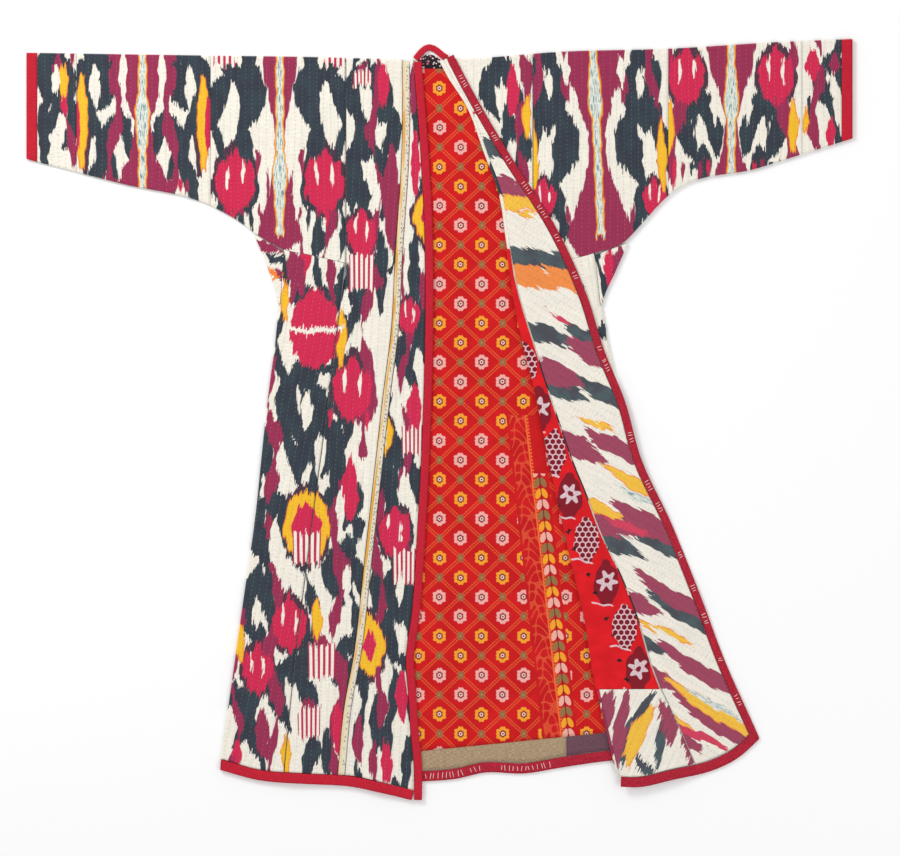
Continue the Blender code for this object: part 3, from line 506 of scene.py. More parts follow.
for k, (dye, wide) in enumerate((("plum", 15), ("indigo", 9), ("cream", 7), ("indigo", 13), ("plum", 12),
    ("yellow", 9), ("cream", 6),
                                 ("indigo", 14), ("orange", 12), ("cream", 8), ("indigo", 10), ("plum", 14),
                                 ("indigo", 11), ("cream", 6),
                                 ("plum", 16), ("cream", 7), ("yellow", 9), ("plum", 15), ("indigo", 13),
                                 ("cream", 8), ("plum", 16),
                                 ("indigo", 11), ("cream", 7), ("plum", 14), ("yellow", 11), ("plum", 15))):
    height = 600 - k * 45.5
    middle = float(mix(fold(height / 1000), flap_edge(height / 1000), 0.5)) * 1000
    room = float(flap_edge(height / 1000) - fold(height / 1000)) * 1000
    for side_x, tilt, share in ((-0.26, -0.42, 0.66), (0.30, -0.62, 0.60)):
        slip_y = (9, -14, 4, 16, -7)[(k + (side_x > 0) * 2) % 5]
        FACING += leaf(middle + side_x * room, height + slip_y, room * share * 1.35,
            wide * (1.6 if side_x < 0 else 1.25), tilt, dye)
    if k % 4 == 1:
        FACING += leaf(middle + 0.12 * room, height - 12, room * 0.5, 7, -0.5,
            "crimson" if k % 8 == 1 else "yellow")
    if dye == "yellow" and k > 8:
        FACING += leaf(middle + 0.3 * room, height - 4, room * 0.5, 6, -0.6, "pale")
HEM_CORNER = (bow("plum", 330, -470, 306, -610, -4, 12) + bow("indigo", 410, -480, 380, -610, -6, 9) +
    bow("plum", 302, -470, 290, -540, -6, 15) + bow("indigo", 376, -474, 318, -600, -12, 11) +
    bow("yellow", 372, -500, 330, -600, -8, 15) +
              bow("plum", 388, -490, 404, -560, 6, 15) + bow("plum", 426, -540, 450, -612, 4, 14) +
              bow("indigo", 344, -592, 372, -618, 0, 10))
GUSSET_STRIPES = vine("plum", 300, 330, 200, 14) + vine("indigo", 270, 330, 200, 10) + lens("crimson", 286,
    300, 240, 3, 11, 5) + leaf(-300, 306, 60, 11, -0.5, "plum") + leaf(-284, 282, 50, 7, -0.7,
    "indigo") + leaf(-296, 262, 40, 6, -0.9, "orange") + leaf(-272, 250, 50, 7, -1.0, "plum")
PATCH_PRINT = []
for k in range(9):
    height = 130 - k * 76
    seam_x = float(facing_seam(height / 1000)) * 1000
    PATCH_PRINT += lens("aubergine" if k % 2 else "pale", seam_x - 16, height, height - 62, 8, 20, 22, 12)
    for turn in np.arange(6) * np.pi / 3 + 0.4 * k:
        cx, cy = seam_x - 15, height - 30
        if k % 2:
            PATCH_PRINT += [("cream",
                [(cx + 9 * np.cos(turn), cy + 9 * np.sin(turn), 4.6),
                (cx + 16 * np.cos(turn), cy + 16 * np.sin(turn), 3.0)])]
    PATCH_PRINT += [("cream", [(seam_x - 42, height - 66, 1.5), (seam_x - 6, height - 74, 1.5)])]
    for sx, sy in ((-48, -18), (-36, -50)):
        PATCH_PRINT += [("indigo",
            [(seam_x + sx - 4, height + sy, 1.5), (seam_x + sx + 4, height + sy + 1, 1.5)]),
                        ("indigo", [(seam_x + sx, height + sy - 4, 1.4),
                        (seam_x + sx, height + sy + 4, 1.4)])]
print(sum(len(t) for t in (STRIP_HORNS, STRIP_LOTUS, STRIP_BLADES, STRIP_BUDS, LEFT_END, RIGHT_END, LEFT_BODY,
                           LEFT_GORE, RIGHT_BODY, FACING, HEM_CORNER)), "strokes in all")


# %% from strokes to dye
DYES = ("aubergine", "indigo", "plum", "yellow", "orange", "crimson", "cream", "pale", "comb")
BARE = -25.0            # depth, in mm, of cloth that a dye has not reached
SLIP = 5.0              # mm along the warp between the two points that give a depth's slope
BARS = 5                # teeth in a comb


def read(table):
    return [(dye, np.array(spots, float)) for dye, spots in table]


def strokes(table, x, y):
    """Depth of each dye in mm at points in mm, and how far across its comb each point lies."""
    depth = {dye: np.full(x.shape, BARE) for dye in DYES}
    teeth = np.zeros(x.shape)
    wobble_x = x + 0.8 * np.sin(y / 9.0 + x / 31.0) + 0.5 * np.sin(y / 4.1 - x / 12.0)
    wobble_y = y + 1.4 * np.sin(x / 7.0 + y / 47.0) + 0.9 * np.sin(x / 3.3 + y / 20.0)
    for dye, spots in table:
        px, py = (x, y) if dye == "comb" else (wobble_x, wobble_y)
        reach = spots[:, 2].max() - BARE
        near = (px > spots[:, 0].min() - reach) & (px < spots[:, 0].max() + reach) & \
               (py > spots[:, 1].min() - reach) & (py < spots[:, 1].max() + reach)
        if not near.any():
            continue
        qx, qy = px[near], py[near]
        best = np.full(qx.shape, BARE)
        for (ax, ay, aw), (bx, by, bw) in zip(spots, spots[1:]):
            dx, dy = bx - ax, by - ay
            t = ((qx - ax) * dx + (qy - ay) * dy) / max(dx * dx + dy * dy, 1e-6)
            if dye == "comb":
                middle = ax + dx * t
                half = aw + (bw - aw) * t
                inside = np.minimum(half - np.abs(qx - middle), np.minimum(ay - qy, qy - by))
                across = (qx - middle) / half
                teeth[near] = np.where(inside > best - 6.0, across * BARS / 2, teeth[near])
                best = np.maximum(best, inside)
                continue
            t = np.clip(t, 0.0, 1.0)
            away = np.hypot(qx - ax - t * dx, qy - ay - t * dy)
            best = np.maximum(best, aw + (bw - aw) * t - away)
        depth[dye][near] = np.maximum(depth[dye][near], best)
    return [np.clip(depth[dye], BARE, -BARE) for dye in DYES], teeth


def half_drawing(table, middle, lean=0.0, drop=0.0):
    """A chart that is the same on both sides of x = middle, in metres."""
    table = read(table)

    def chart(x, y):
        across = x * 1000 - middle * 1000 - lean * (640 - y * 1000)
        return strokes(table, np.abs(across), y * 1000 + drop * 1000)
    return chart


def whole_drawing(*tables):
    table = [row for part in tables for row in read(part)]
    return lambda x, y: strokes(table, x * 1000, y * 1000)


def joined(pieces):
    """A chart out of several, each good where its test says so."""
    def chart(x, y):
        total, teeth = [np.full(x.shape, BARE) for _ in DYES], np.zeros(x.shape)
        for test, part in pieces:
            here = test(x, y)
            if here.any():
                found, comb = part(x[here], y[here])
                for whole, some in zip(total, found):
                    whole[here] = some
                teeth[here] = comb
        return total, teeth
    return chart


def stacked(middle, order, pitch=0.305):
    """The long cloth of the back: one drawing below the other."""
    parts = [half_drawing(table, middle, drop=k * pitch) for k, table in enumerate(order)]
    top_y = 0.665
    return joined([(lambda x, y, k=k: (y <= top_y - k * pitch + (1.0 if k == 0 else 0.0)) &
                    (y > top_y - (k + 1) * pitch - (1.0 if k == len(parts) - 1 else 0.0)), part)
                   for k, part in enumerate(parts)])


print(len(DYES), "dyes,", BARS, "teeth in a comb")

# %% [markdown]
# ## Materials
#
# `Wire` lets a material's sums be written as plain expressions.  Colours are mixed with
# `Paint.blend`, and every other node comes from `Paint.node`.

# %% material tools
class Wire:
    """A value on its way through a material."""

    def __init__(self, paint, socket):
        self.paint, self.socket = paint, socket

    def maths(self, operation, *values):
        return self.paint.node("ShaderNodeMath", {"operation": operation}, values)

    def __add__(self, other): return self.maths("ADD", self, other)
    def __radd__(self, other): return self.maths("ADD", other, self)
    def __sub__(self, other): return self.maths("SUBTRACT", self, other)
    def __rsub__(self, other): return self.maths("SUBTRACT", other, self)
    def __mul__(self, other): return self.maths("MULTIPLY", self, other)
    def __rmul__(self, other): return self.maths("MULTIPLY", other, self)
    def __truediv__(self, other): return self.maths("DIVIDE", self, other)
    def __rtruediv__(self, other): return self.maths("DIVIDE", other, self)
    def __abs__(self): return self.maths("ABSOLUTE", self)
    def __lt__(self, other): return self.maths("LESS_THAN", self, other)
    def __gt__(self, other): return self.maths("GREATER_THAN", self, other)
    def floor(self): return self.maths("FLOOR", self)
    def fract(self): return self.maths("FRACT", self)
    def sin(self): return self.maths("SINE", self)
    def root(self): return self.maths("SQRT", self)
    def least(self, other): return self.maths("MINIMUM", self, other)
    def most(self, other): return self.maths("MAXIMUM", self, other)

    def out(self, name):
        return Wire(self.paint, self.socket.node.outputs[name])

    def rise(self, low, high):
        """0 up to low and 1 from high on, eased between."""
        return self.paint.node("ShaderNodeMapRange", {"interpolation_type": "SMOOTHSTEP"}, (self, low, high))

    def wave(self):
        """Distance to the nearest whole number, from 0 to a half."""
        return abs((self + 0.5).fract() - 0.5)


class Paint:
    """A material under construction."""

    def __init__(self, name, roughness=0.85, sheen=0.10, base=(0.5, 0.5, 0.5)):
        self.material = bpy.data.materials.new(name)
        self.material.use_nodes = True
        self.tree = self.material.node_tree
        self.shader = self.tree.nodes["Principled BSDF"]
        self.shader.inputs["Roughness"].default_value = roughness
        self.shader.inputs["Sheen Weight"].default_value = sheen
        self.shader.inputs["Sheen Roughness"].default_value = 0.45
        self.shader.inputs["Specular IOR Level"].default_value = 0.25
        self.shader.inputs["Base Color"].default_value = (*base, 1.0)

    def node(self, kind, settings=None, values=(), out=0):
        made = self.tree.nodes.new(kind)
        for key, value in (settings or {}).items():
            setattr(made, key, value)
        pairs = values.items() if isinstance(values, dict) else enumerate(values)
        for key, value in pairs:
            if isinstance(value, Wire):
                self.tree.links.new(value.socket, made.inputs[key])
            else:
                made.inputs[key].default_value = value
        return Wire(self, made.outputs[out])

    def blend(self, mask, under, over):
        """A colour mixed from two, by a mask from 0 to 1."""
        under, over = ((*c, 1.0) if isinstance(c, tuple) else c for c in (under, over))
        return self.node("ShaderNodeMix", {"data_type": "RGBA"}, {0: mask, 6: under, 7: over}, out=2)

    def across(self):
        """The piece's own cloth coordinates in millimetres: u over the warp, v along it."""
        uv = self.node("ShaderNodeUVMap", {"uv_map": "cloth"})
        parts = self.node("ShaderNodeSeparateXYZ", None, (uv,))
        return parts * 1000.0, parts.out("Y") * 1000.0

    def at(self, x, y, z=0.0):
        return self.node("ShaderNodeCombineXYZ", None, (x, y, z))

    def noise(self, x, y, detail=2.0):
        """Even noise from about 0.2 to 0.8 at scaled places."""
        return self.node("ShaderNodeTexNoise", None,
            {"Vector": self.at(x, y), "Scale": 1.0, "Detail": detail})

    def chance(self, x, y=0.0):
        """A random number from 0 to 1 for each pair of whole numbers."""
        return self.node("ShaderNodeTexWhiteNoise", {"noise_dimensions": "2D"}, {"Vector": self.at(x, y)})

    def three(self, name):
        values = self.node("ShaderNodeAttribute", {"attribute_name": name}, out="Vector")
        parts = self.node("ShaderNodeSeparateXYZ", None, (values,))
        return [parts, parts.out("Y"), parts.out("Z")]

    def set(self, name, wire):
        self.tree.links.new(wire.socket, self.shader.inputs[name])

    def bump(self, height, millimetres=1.0, strength=0.6):
        self.set("Normal", self.node("ShaderNodeBump", None,
            {"Strength": strength, "Distance": millimetres / 1000,
                                                               "Height": height}))

    def finish(self, colour, shade=None):
        if shade is not None:
            grey = self.node("ShaderNodeCombineXYZ", None, (shade, shade, shade))
            colour = self.node("ShaderNodeMix", {"data_type": "RGBA", "blend_type": "MULTIPLY"},
                               {0: 1.0, 6: colour, 7: grey}, out=2)
        self.set("Base Color", colour)
        return self.material


def ink(red, green, blue):
    """A colour given as 0 to 255, as light."""
    return tuple(((v / 255 + 0.055) / 1.055) ** 2.4 if v > 10 else v / 255 / 12.92 for v in (red, green,
        blue))


def quilt(paint, u, v, rows=12.5):
    """Rows of running stitches along the warp: height of the puckers and where thread shows."""
    drift = paint.noise(u / 60, v / 90) * 4.0
    across = ((u + drift) / rows).wave() * rows
    row = ((u + drift) / rows + 0.5).floor()
    beat = v / 7.5 + paint.chance(row) * 3.0
    down = 1.0 - (across / 2.4).rise(0.0, 1.0)
    stitch = (1.0 - across.rise(0.25, 0.7)) * (beat.fract() < 0.42)
    pucker = down * (0.55 + 0.45 * (beat * 6.2832).sin())
    return pucker, stitch


# %% [markdown]
# ### Dyed cloth
#
# Each warp thread has slipped its own distance, in bundles and singly.  A dye's depth plus
# its slope along the warp times that slip says whether the dye is there.

# %% ikat
CREAM, PALE = ink(238, 232, 219), ink(222, 226, 214)
WARM = {"aubergine": ink(74, 48, 64), "indigo": ink(46, 53, 64), "plum": ink(150, 40, 78),
    "yellow": ink(241, 186, 36),
        "orange": ink(236, 132, 44), "crimson": ink(205, 32, 76), "cream": CREAM, "pale": PALE,
        "comb": ink(190, 38, 80)}
TEAL = ink(52, 76, 82)


def ikat(name, ground=CREAM, dyes=WARM, slip=17.0, fade=0.0, teal=0.3, sheen=0.14, quilted=1.0):
    paint = Paint(name, roughness=0.72, sheen=sheen)
    u, v = paint.across()
    thread = (u / 1.15).floor()
    bundle = paint.noise((u / 3.45).floor() * 7.31, v / 60.0, 1.0) - 0.5
    pair = paint.noise(thread * 5.17, v / 45.0, 1.0) - 0.5
    sway = paint.noise(u / 9.0, v / 80.0, 1.0) - 0.5
    own = paint.chance(thread) - 0.5
    slipped = (bundle * 1.7 + pair * 1.3 + sway * 0.35 + own * 0.28) * slip
    groups = [(("aubergine", "indigo", "plum"), "ink_a"), (("yellow", "orange", "crimson"), "ink_b"),
              (("cream", "pale", "comb"), "ink_c")]
    depth = {}
    for names, attribute in groups:
        for dye, deep, slope in zip(names, paint.three(attribute),
            paint.three(attribute.replace("ink", "lean"))):
            depth[dye] = deep + slope * slipped
    streak = paint.noise(u / 1.1, v / 45.0, 1.0)
    cloud = paint.noise(u / 26.0, v / 34.0)
    colour = paint.blend((cloud - 0.42) * 0.9, ground, tuple(c * 0.86 for c in ground))
    for dye in ("aubergine", "indigo", "plum", "yellow", "orange", "crimson"):
        shade = dyes[dye]
        if dye == "indigo":
            shade = paint.blend(cloud.rise(0.40, 0.62) * teal, shade, TEAL)
        if dye == "yellow":
            shade = paint.blend(1.0 - depth[dye].rise(0.3, 2.6), shade, dyes["orange"])
        colour = paint.blend(depth[dye].rise(-1.0, 0.7), colour, shade)
    tooth = paint.node("ShaderNodeAttribute", {"attribute_name": "teeth"}, out="Fac")
    bar = (tooth + 0.5 + bundle * 0.10).wave()
    combed = paint.blend(bar.rise(0.20, 0.27), dyes["comb"], dyes["cream"])
    colour = paint.blend(depth["comb"].rise(-0.5, 0.5), colour, combed)
    colour = paint.blend(depth["cream"].rise(-0.6, 0.6), colour, dyes["cream"])
    flecks = paint.blend(paint.noise(u / 1.5, v / 15.0, 1.0).rise(0.50, 0.62), dyes["pale"],
        ink(120, 152, 158))
    colour = paint.blend(depth["pale"].rise(-0.5, 0.5), colour, flecks)
    if fade:
        colour = paint.blend(fade, colour, ink(206, 198, 196))
    rib = (v / 1.9).wave() * 2.0
    weft = paint.noise(u / 9.0, v / 0.9, 1.0)
    pucker, stitch = quilt(paint, u, v)
    drawn = paint.noise(u / 16.0, v / 3.4, 1.0) * (1.0 - pucker * 0.3)
    colour = paint.blend(stitch * 0.14 * quilted, colour, ink(226, 205, 200))
    grain = paint.noise(u / 0.9, v / 0.8, 1.0)
    # The colour is multiplied by thread streak, weft and grain tone and the weft ribs, and by painted shade:
    # darker in the pucker dimples along the quilting rows, darker in the hollows of the drawn-up wrinkles and
    # lighter on their crests.
    shade = 0.66 + streak * 0.30 + weft * 0.24 + grain * 0.14 + (rib - 0.5) * 0.06
    shade = shade - pucker * 0.05 + (drawn - 0.5) * 0.10
    paint.bump(rib * 0.2 + weft * 0.4 + streak * 0.15 + grain * 0.2 - pucker * 0.45 + drawn * 0.9, 1.5, 0.8)
    paint.set("Roughness", 0.62 + weft * 0.22)
    return paint.finish(colour, shade)


# %% [markdown]
# ### Plain and printed cloth

# %% lining, bindings and small pieces
def weave(paint, u, v, pitch=0.9):
    return (u / pitch).wave() + (v / pitch).wave() + paint.noise(u / 3.0, v / 3.0) * 0.8


def trellis_red():
    """Bright red cotton with a dashed trellis, a flower in every diamond and a border of paired petals."""
    paint = Paint("printed_lining", roughness=0.86, sheen=0.05)
    u, v = paint.across()
    wide, tall = 73.5, 68.4
    x = u / wide + (paint.noise(u / 90, v / 90) - 0.5) * 0.05
    y = v / tall + (paint.noise(u / 80, v / 70) - 0.5) * 0.05
    one, two = x + y, x - y
    first = one.wave() < two.wave()
    rope = one.wave().least(two.wave()) * 50.0
    along = two * first + one * (1.0 - first)
    dash = (along * 11.0 + (rope - 2.2) * 0.2).wave().rise(0.10, 0.20)
    fleck = paint.noise(u / 1.5, v / 1.5)
    ropes = (1.0 - abs(rope - 2.1).rise(0.7, 1.5)) * dash
    red = paint.blend(paint.noise(u / 60, v / 60).rise(0.35, 0.7), ink(196, 12, 18), ink(210, 18, 22))
    colour = paint.blend(ropes * fleck.rise(0.30, 0.46), red, ink(226, 96, 46))

    def around(px, py, petals, depth):
        """Distance from the nearest whole-number point, scalloped like a flower."""
        dx, dy = px.wave() * wide, py.wave() * tall
        turn = dy.maths("ARCTAN2", dy, dx)
        return (dx * dx + dy * dy).root() * (1.0 + (turn * petals).sin() * depth)

    def both(px, py, qx, qy, petals, depth):
        return around(px, py, petals, depth).least(around(qx, qy, petals, depth))

    cross = both(x, y, x + 0.5, y + 0.5, 4.0, 0.16)
    colour = paint.blend(1.0 - (cross + fleck * 4.0).rise(7.6, 9.2), colour, ink(150, 102, 66))
    colour = paint.blend(1.0 - cross.rise(1.4, 2.2), colour, ink(176, 132, 60))
    flower = both(x + 0.5, y, x, y + 0.5, 8.0, 0.10)
    nearer = around(x + 0.5, y, 8.0, 0.0) < around(x, y + 0.5, 8.0, 0.0)
    odd = ((y + 0.5).floor() / 2.0).fract() * nearer + (y.floor() / 2.0).fract() * (1.0 - nearer)
    petal = paint.blend(odd > 0.25, ink(240, 160, 44), ink(236, 172, 164))
    ring = flower + fleck * 3.0
    colour = paint.blend((1.0 - ring.rise(12.6, 13.8)) * ring.rise(7.0, 8.2), colour, petal)
    colour = paint.blend((1.0 - flower.rise(4.8, 5.6)) * flower.rise(3.2, 3.9), colour, ink(92, 44, 60))
    colour = paint.blend((1.0 - flower.rise(3.0, 3.7)) * flower.rise(1.4, 2.0), colour, ink(238, 214, 200))
    colour = paint.blend(1.0 - flower.rise(1.0, 1.6), colour, ink(120, 60, 40))
    # the border: s runs down it and t across it
    s = u * 0.10 - v * 0.995
    t = u * 0.995 + v * 0.112 - 163.0
    strip = (t > -46.0) * (v < 10.0)
    border = paint.blend(paint.noise(u / 40, v / 40).rise(0.35, 0.7), ink(192, 14, 20), ink(206, 20, 24))
    scroll = (((t + 26.0) * 0.30 + (s / 11.0).sin() * 2.2).sin() + (s / 4.2 + (t / 6.0).sin() * 2.0).sin())
    scrolled = (abs(scroll) < 0.45) * (t < -13.0) * (t > -42.0)
    border = paint.blend(scrolled * 0.8 * fleck.rise(0.38, 0.5), border, ink(228, 92, 52))
    line = 1.0 - abs(t + 13.0).rise(0.9, 1.5)
    border = paint.blend(line, border, ink(236, 112, 48))
    dots = 1.0 - ((abs(t + 10.0) * abs(t + 10.0) +
        (s / 6.0).wave() * (s / 6.0).wave() * 36.0).root()).rise(1.6, 2.4)
    border = paint.blend(dots, border, ink(232, 100, 48))
    pitch = 19.2
    step = s / pitch
    number = step.floor()
    along = (step.fract() - 0.5) * pitch
    sway = abs(t) - 5.4 - along * 0.28
    heart = ((sway / 5.0) * (sway / 5.0) + (along / 9.0) * (along / 9.0)).root()
    third = (number / 3.0).fract()
    petals = paint.blend(third > 0.2, ink(146, 112, 66), ink(242, 160, 40))
    petals = paint.blend(third > 0.5, petals, ink(238, 172, 158))
    border = paint.blend((1.0 - heart.rise(0.92, 1.05)) * (v < -92.0), border, petals)
    border = paint.blend((1.0 - abs(t).rise(0.5, 1.1)) * (v < -92.0) * fleck.rise(0.3, 0.4), border,
        ink(110, 30, 34))
    beyond = t.rise(15.0, 16.0)
    colour = paint.blend(strip * (1.0 - beyond), colour, border)
    rough = weave(paint, u, v)
    paint.bump(rough + (u / 31.0).sin() * 0.2, 0.5, 0.5)
    return paint.finish(colour, 0.90 + paint.noise(u / 0.8, v / 14.0, 1.0) * 0.16)


def plain(name, base, other, roughness=0.85, streak=0.2, scale=(1.0, 12.0), sheen=0.08, height=0.6):
    paint = Paint(name, roughness=roughness, sheen=sheen)
    u, v = paint.across()
    grain = paint.noise(u / scale[0], v / scale[1], 2.0)
    patch = paint.noise(u / 24.0, v / 24.0)
    colour = paint.blend(grain.rise(0.35, 0.68), base, other)
    paint.bump(weave(paint, u, v, 1.1) * 0.6 + grain, height, 0.6)
    return paint.finish(colour, 1.0 - streak * 0.5 + patch * streak)


def flowered():
    """Dark cotton with small pale and pink flowers."""
    paint = Paint("flowered_cotton", roughness=0.88)
    u, v = paint.across()
    cell = paint.node("ShaderNodeTexVoronoi", None, {"Vector": paint.at(u / 4.6, v / 4.6), "Scale": 1.0},
        out="Distance")
    hue = paint.chance((u / 4.6).floor(), (v / 4.6).floor())
    bloom = paint.blend(hue.rise(0.45, 0.55), ink(232, 224, 222), ink(214, 110, 130))
    colour = paint.blend(1.0 - cell.rise(0.30, 0.42), ink(36, 28, 34), bloom)
    paint.bump(weave(paint, u, v), 0.4, 0.5)
    return paint.finish(colour)


def sprigged():
    """Red printed cotton patch: drawn motifs in maroon and white on red, sharp."""
    paint = Paint("printed_patch", roughness=0.85, sheen=0.05)
    u, v = paint.across()
    dark, black, _ = paint.three("ink_a")
    _, orange, _ = paint.three("ink_b")
    white, net, _ = paint.three("ink_c")
    colour = paint.blend(paint.noise(u / 30, v / 30).rise(0.35, 0.7), ink(206, 14, 24), ink(222, 20, 30))
    colour = paint.blend(dark.rise(-0.3, 0.3), colour, ink(128, 16, 34))
    a, b = u / 10.4, v / 10.4 / 1.732

    def honey(px, py):
        dx, dy = px.wave(), py.wave() * 1.732
        return dx.most(dx * 0.5 + dy * 0.866)

    hexes = honey(a, b).least(honey(a + 0.5, b + 0.5))
    meshed = paint.blend(hexes.rise(0.36, 0.43), ink(120, 14, 34), ink(222, 184, 190))
    colour = paint.blend(net.rise(-0.3, 0.3), colour, meshed)
    fleck = paint.noise(u / 0.9, v / 0.9)
    colour = paint.blend(white.rise(-0.3, 0.3) * fleck.rise(0.36, 0.46), colour, ink(222, 200, 206))
    colour = paint.blend(orange.rise(-0.3, 0.3), colour, ink(236, 130, 90))
    colour = paint.blend(black.rise(-0.2, 0.3), colour, ink(40, 22, 28))
    paint.bump(weave(paint, u, v), 0.4, 0.5)
    return paint.finish(colour)


def stitched():
    """The tape over the left gore seam: yellow at one edge, then cream with dark stitches."""
    paint = Paint("stitched_tape", roughness=0.82)
    u, v = paint.across()
    grain = paint.noise(u / 1.0, v / 7.0)
    patch = paint.noise(u / 8.0, v / 90.0).rise(0.40, 0.56)
    yellow = paint.blend(patch, ink(226, 168, 70), ink(236, 214, 168))
    across = u + (grain - 0.5) * 1.2
    colour = paint.blend(across.rise(-1.6, -0.4), yellow, ink(232, 222, 202))
    paint.bump(grain + weave(paint, u, v), 0.6, 0.6)
    return paint.finish(colour, 0.86 + grain * 0.24)


SHINING = ikat("ikat")
FADED = ikat("ikat_inside", slip=22.0, fade=0.06, teal=0.9, sheen=0.10, quilted=0.0)
RED_TAPE = plain("red_tape", ink(180, 22, 44), ink(200, 28, 50), scale=(9.0, 1.1), streak=0.22)
WORN_TAPE = plain("worn_tape", ink(152, 22, 42), ink(188, 34, 56), scale=(5.0, 2.0), streak=0.34)
LINING_RED = trellis_red()
BEIGE = plain("beige_cotton", ink(150, 124, 96), ink(188, 166, 134), scale=(6.0, 0.9), height=0.9)
GREY_PURPLE = plain("grey_purple_cotton", ink(92, 58, 72), ink(118, 84, 94), scale=(2.0, 2.0))
FLOWERS = flowered()
PATCH = sprigged()
TAPE_CLOTH = stitched()
THREAD = plain("white_thread", ink(226, 206, 200), ink(240, 228, 220), scale=(0.8, 0.8))
DARK_THREAD = plain("dark_thread", ink(40, 44, 52), ink(60, 64, 70), scale=(0.8, 0.8))
print(len(bpy.data.materials), "materials")

# %% [markdown]
# ## Cutting the cloth
#
# `cloth` makes a grid, sets it on rows of points, draws the dyes on it and thickens it.  It
# measures the flat cut as it goes: the longest row, the longest column and the area.  These
# are measures of the modelled wall itself, not of a pattern drafted beforehand.

# %% the cloth builder
made = {}
cuts = {}


def lengths(points, axis):
    return np.linalg.norm(np.diff(points, axis=axis), axis=2).sum(axis=axis)


def cloth(name, points, thick, cover, side_of=0.0, cut=None, chart=None, warp=0.0, origin=(0.0, 0.0),
          plan=None):
    """points has one row after another, each of the same number of (x, y, z) in metres."""
    points = np.array(points, float)
    rows, columns = points.shape[0] - 1, points.shape[1] - 1
    bm = bmesh.new()
    bmesh.ops.create_grid(bm, x_segments=columns, y_segments=rows, size=0.5)
    if cut is not None:
        lost = []
        for face in bm.faces:
            middle = face.calc_center_median()
            if cut[int((middle.y + 0.5) * rows), int((middle.x + 0.5) * columns)]:
                lost.append(face)
        bmesh.ops.delete(bm, geom=lost, context="FACES")
    for face in bm.faces:
        face.smooth = True
    mesh = bpy.data.meshes.new(name)
    bm.to_mesh(mesh)
    bm.free()
    flat = np.empty(len(mesh.vertices) * 3)
    mesh.vertices.foreach_get("co", flat)
    flat = flat.reshape(-1, 3)
    i = np.rint((flat[:, 0] + 0.5) * columns).astype(int)
    j = np.rint((flat[:, 1] + 0.5) * rows).astype(int)
    place = points[j, i]
    mesh.vertices.foreach_set("co", (place - (0.0, MID_Y, 0.0)).ravel())

    lie = (points if plan is None else np.asarray(plan, float))[j, i]
    x, y = lie[:, 0], lie[:, 1]
    cos, sin = math.cos(warp), math.sin(warp)
    u = (x - origin[0]) * cos + (y - origin[1]) * sin
    v = -(x - origin[0]) * sin + (y - origin[1]) * cos
    corner = np.empty(len(mesh.loops), int)
    mesh.loops.foreach_get("vertex_index", corner)
    layer = mesh.uv_layers.new(name="cloth")
    layer.data.foreach_set("uv", np.stack([u, v], 1)[corner].ravel())
    if chart is not None:
        here, teeth = chart(x, y)
        ahead, _ = chart(x - sin * SLIP / 1000, y + cos * SLIP / 1000)
        behind, _ = chart(x + sin * SLIP / 1000, y - cos * SLIP / 1000)
        order = {"ink_a": (0, 1, 2), "ink_b": (3, 4, 5), "ink_c": (6, 7, 8)}
        for key, picks in order.items():
            depth = np.stack([here[k] for k in picks], 1)
            slope = np.stack([(ahead[k] - behind[k]) / (2 * SLIP) for k in picks], 1)
            mesh.attributes.new(key, "FLOAT_VECTOR", "POINT").data.foreach_set("vector", depth.ravel())
            mesh.attributes.new(key.replace("ink", "lean"), "FLOAT_VECTOR",
                                "POINT").data.foreach_set("vector", slope.ravel())
        mesh.attributes.new("teeth", "FLOAT", "POINT").data.foreach_set("value", teeth)
    mesh.update()
    obj = bpy.data.objects.new(name, mesh)
    bpy.context.scene.collection.objects.link(obj)
    mesh.materials.append(cover)
    solid = obj.modifiers.new("thickness", "SOLIDIFY")
    solid.thickness = thick
    solid.offset = side_of
    solid.use_even_offset = False
    area = sum(p.area for p in mesh.polygons)
    wide, tall = float(lengths(points, 1).max()), float(lengths(points, 0).max())
    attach(obj, "root")
    made[name] = obj
    cuts[name] = (wide, tall, area)
    return obj


def stack(x, y, z):
    return np.stack(np.broadcast_arrays(x, y, z), -1)


def over_top(row, way, back_run, turns=8):
    """Rows that carry a wall over the top edge: the fold and a run down the back."""
    x = row[:, 0]
    y0 = top[way](np.abs(x)) - FOLD_R - WALL / 2
    rows = [stack(x, y0 + FOLD_R * np.sin(a), BACK_Z + FOLD_R + FOLD_R * np.cos(a)) for a in steps(turns,
        0.0, math.pi)]
    return rows + [stack(x, y0 - back_run, BACK_Z)]


# %% [markdown]
# ## Back and fronts
#
# The whole cut: two long back pieces, two fronts, a gore let into each front and each side,
# sleeves of three strips each, and a folded gusset under each arm.

# %% back lengths
BACK_ORDER = (STRIP_BLADES, STRIP_LOTUS, STRIP_HORNS, STRIP_BUDS)


def back_half(way):
    c = steps(24)[None, :]
    t = steps(110)[:, None]
    centre = SEAM / 2
    x_top = mix(SLEEVE_SEAM - SEAM, centre, c)
    at_neck = (way * x_top > -0.042) & (way * x_top < 0.020)
    y_top = np.where(at_neck, neckline(way * x_top) - NECK_TAPE - NECK_CLEAR, top[way](x_top) - TOP_CLEAR)
    x_hem = mix(side_seam[way](-0.60) - SEAM, centre, c)
    y = mix(y_top, hem_back(way * x_hem) + HEM_TAPE + JOIN, t)
    outer = np.where(y > 0.25, SLEEVE_SEAM, side_seam[way](y))
    points = stack(way * mix(outer - JOIN, centre, c), y, 0.0)
    points = points if way < 0 else points[:, ::-1]
    name = "back_left" if way < 0 else "back_right"
    obj = cloth(name + "_cloth", points[::-1], WALL, SHINING, side_of=1.0,
                chart=stacked(way * 0.1175, BACK_ORDER))
    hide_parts(name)


for way in (-1, 1):
    back_half(way)

# %% left front, its gore and the tape between them
left_chart = whole_drawing(LEFT_BODY)


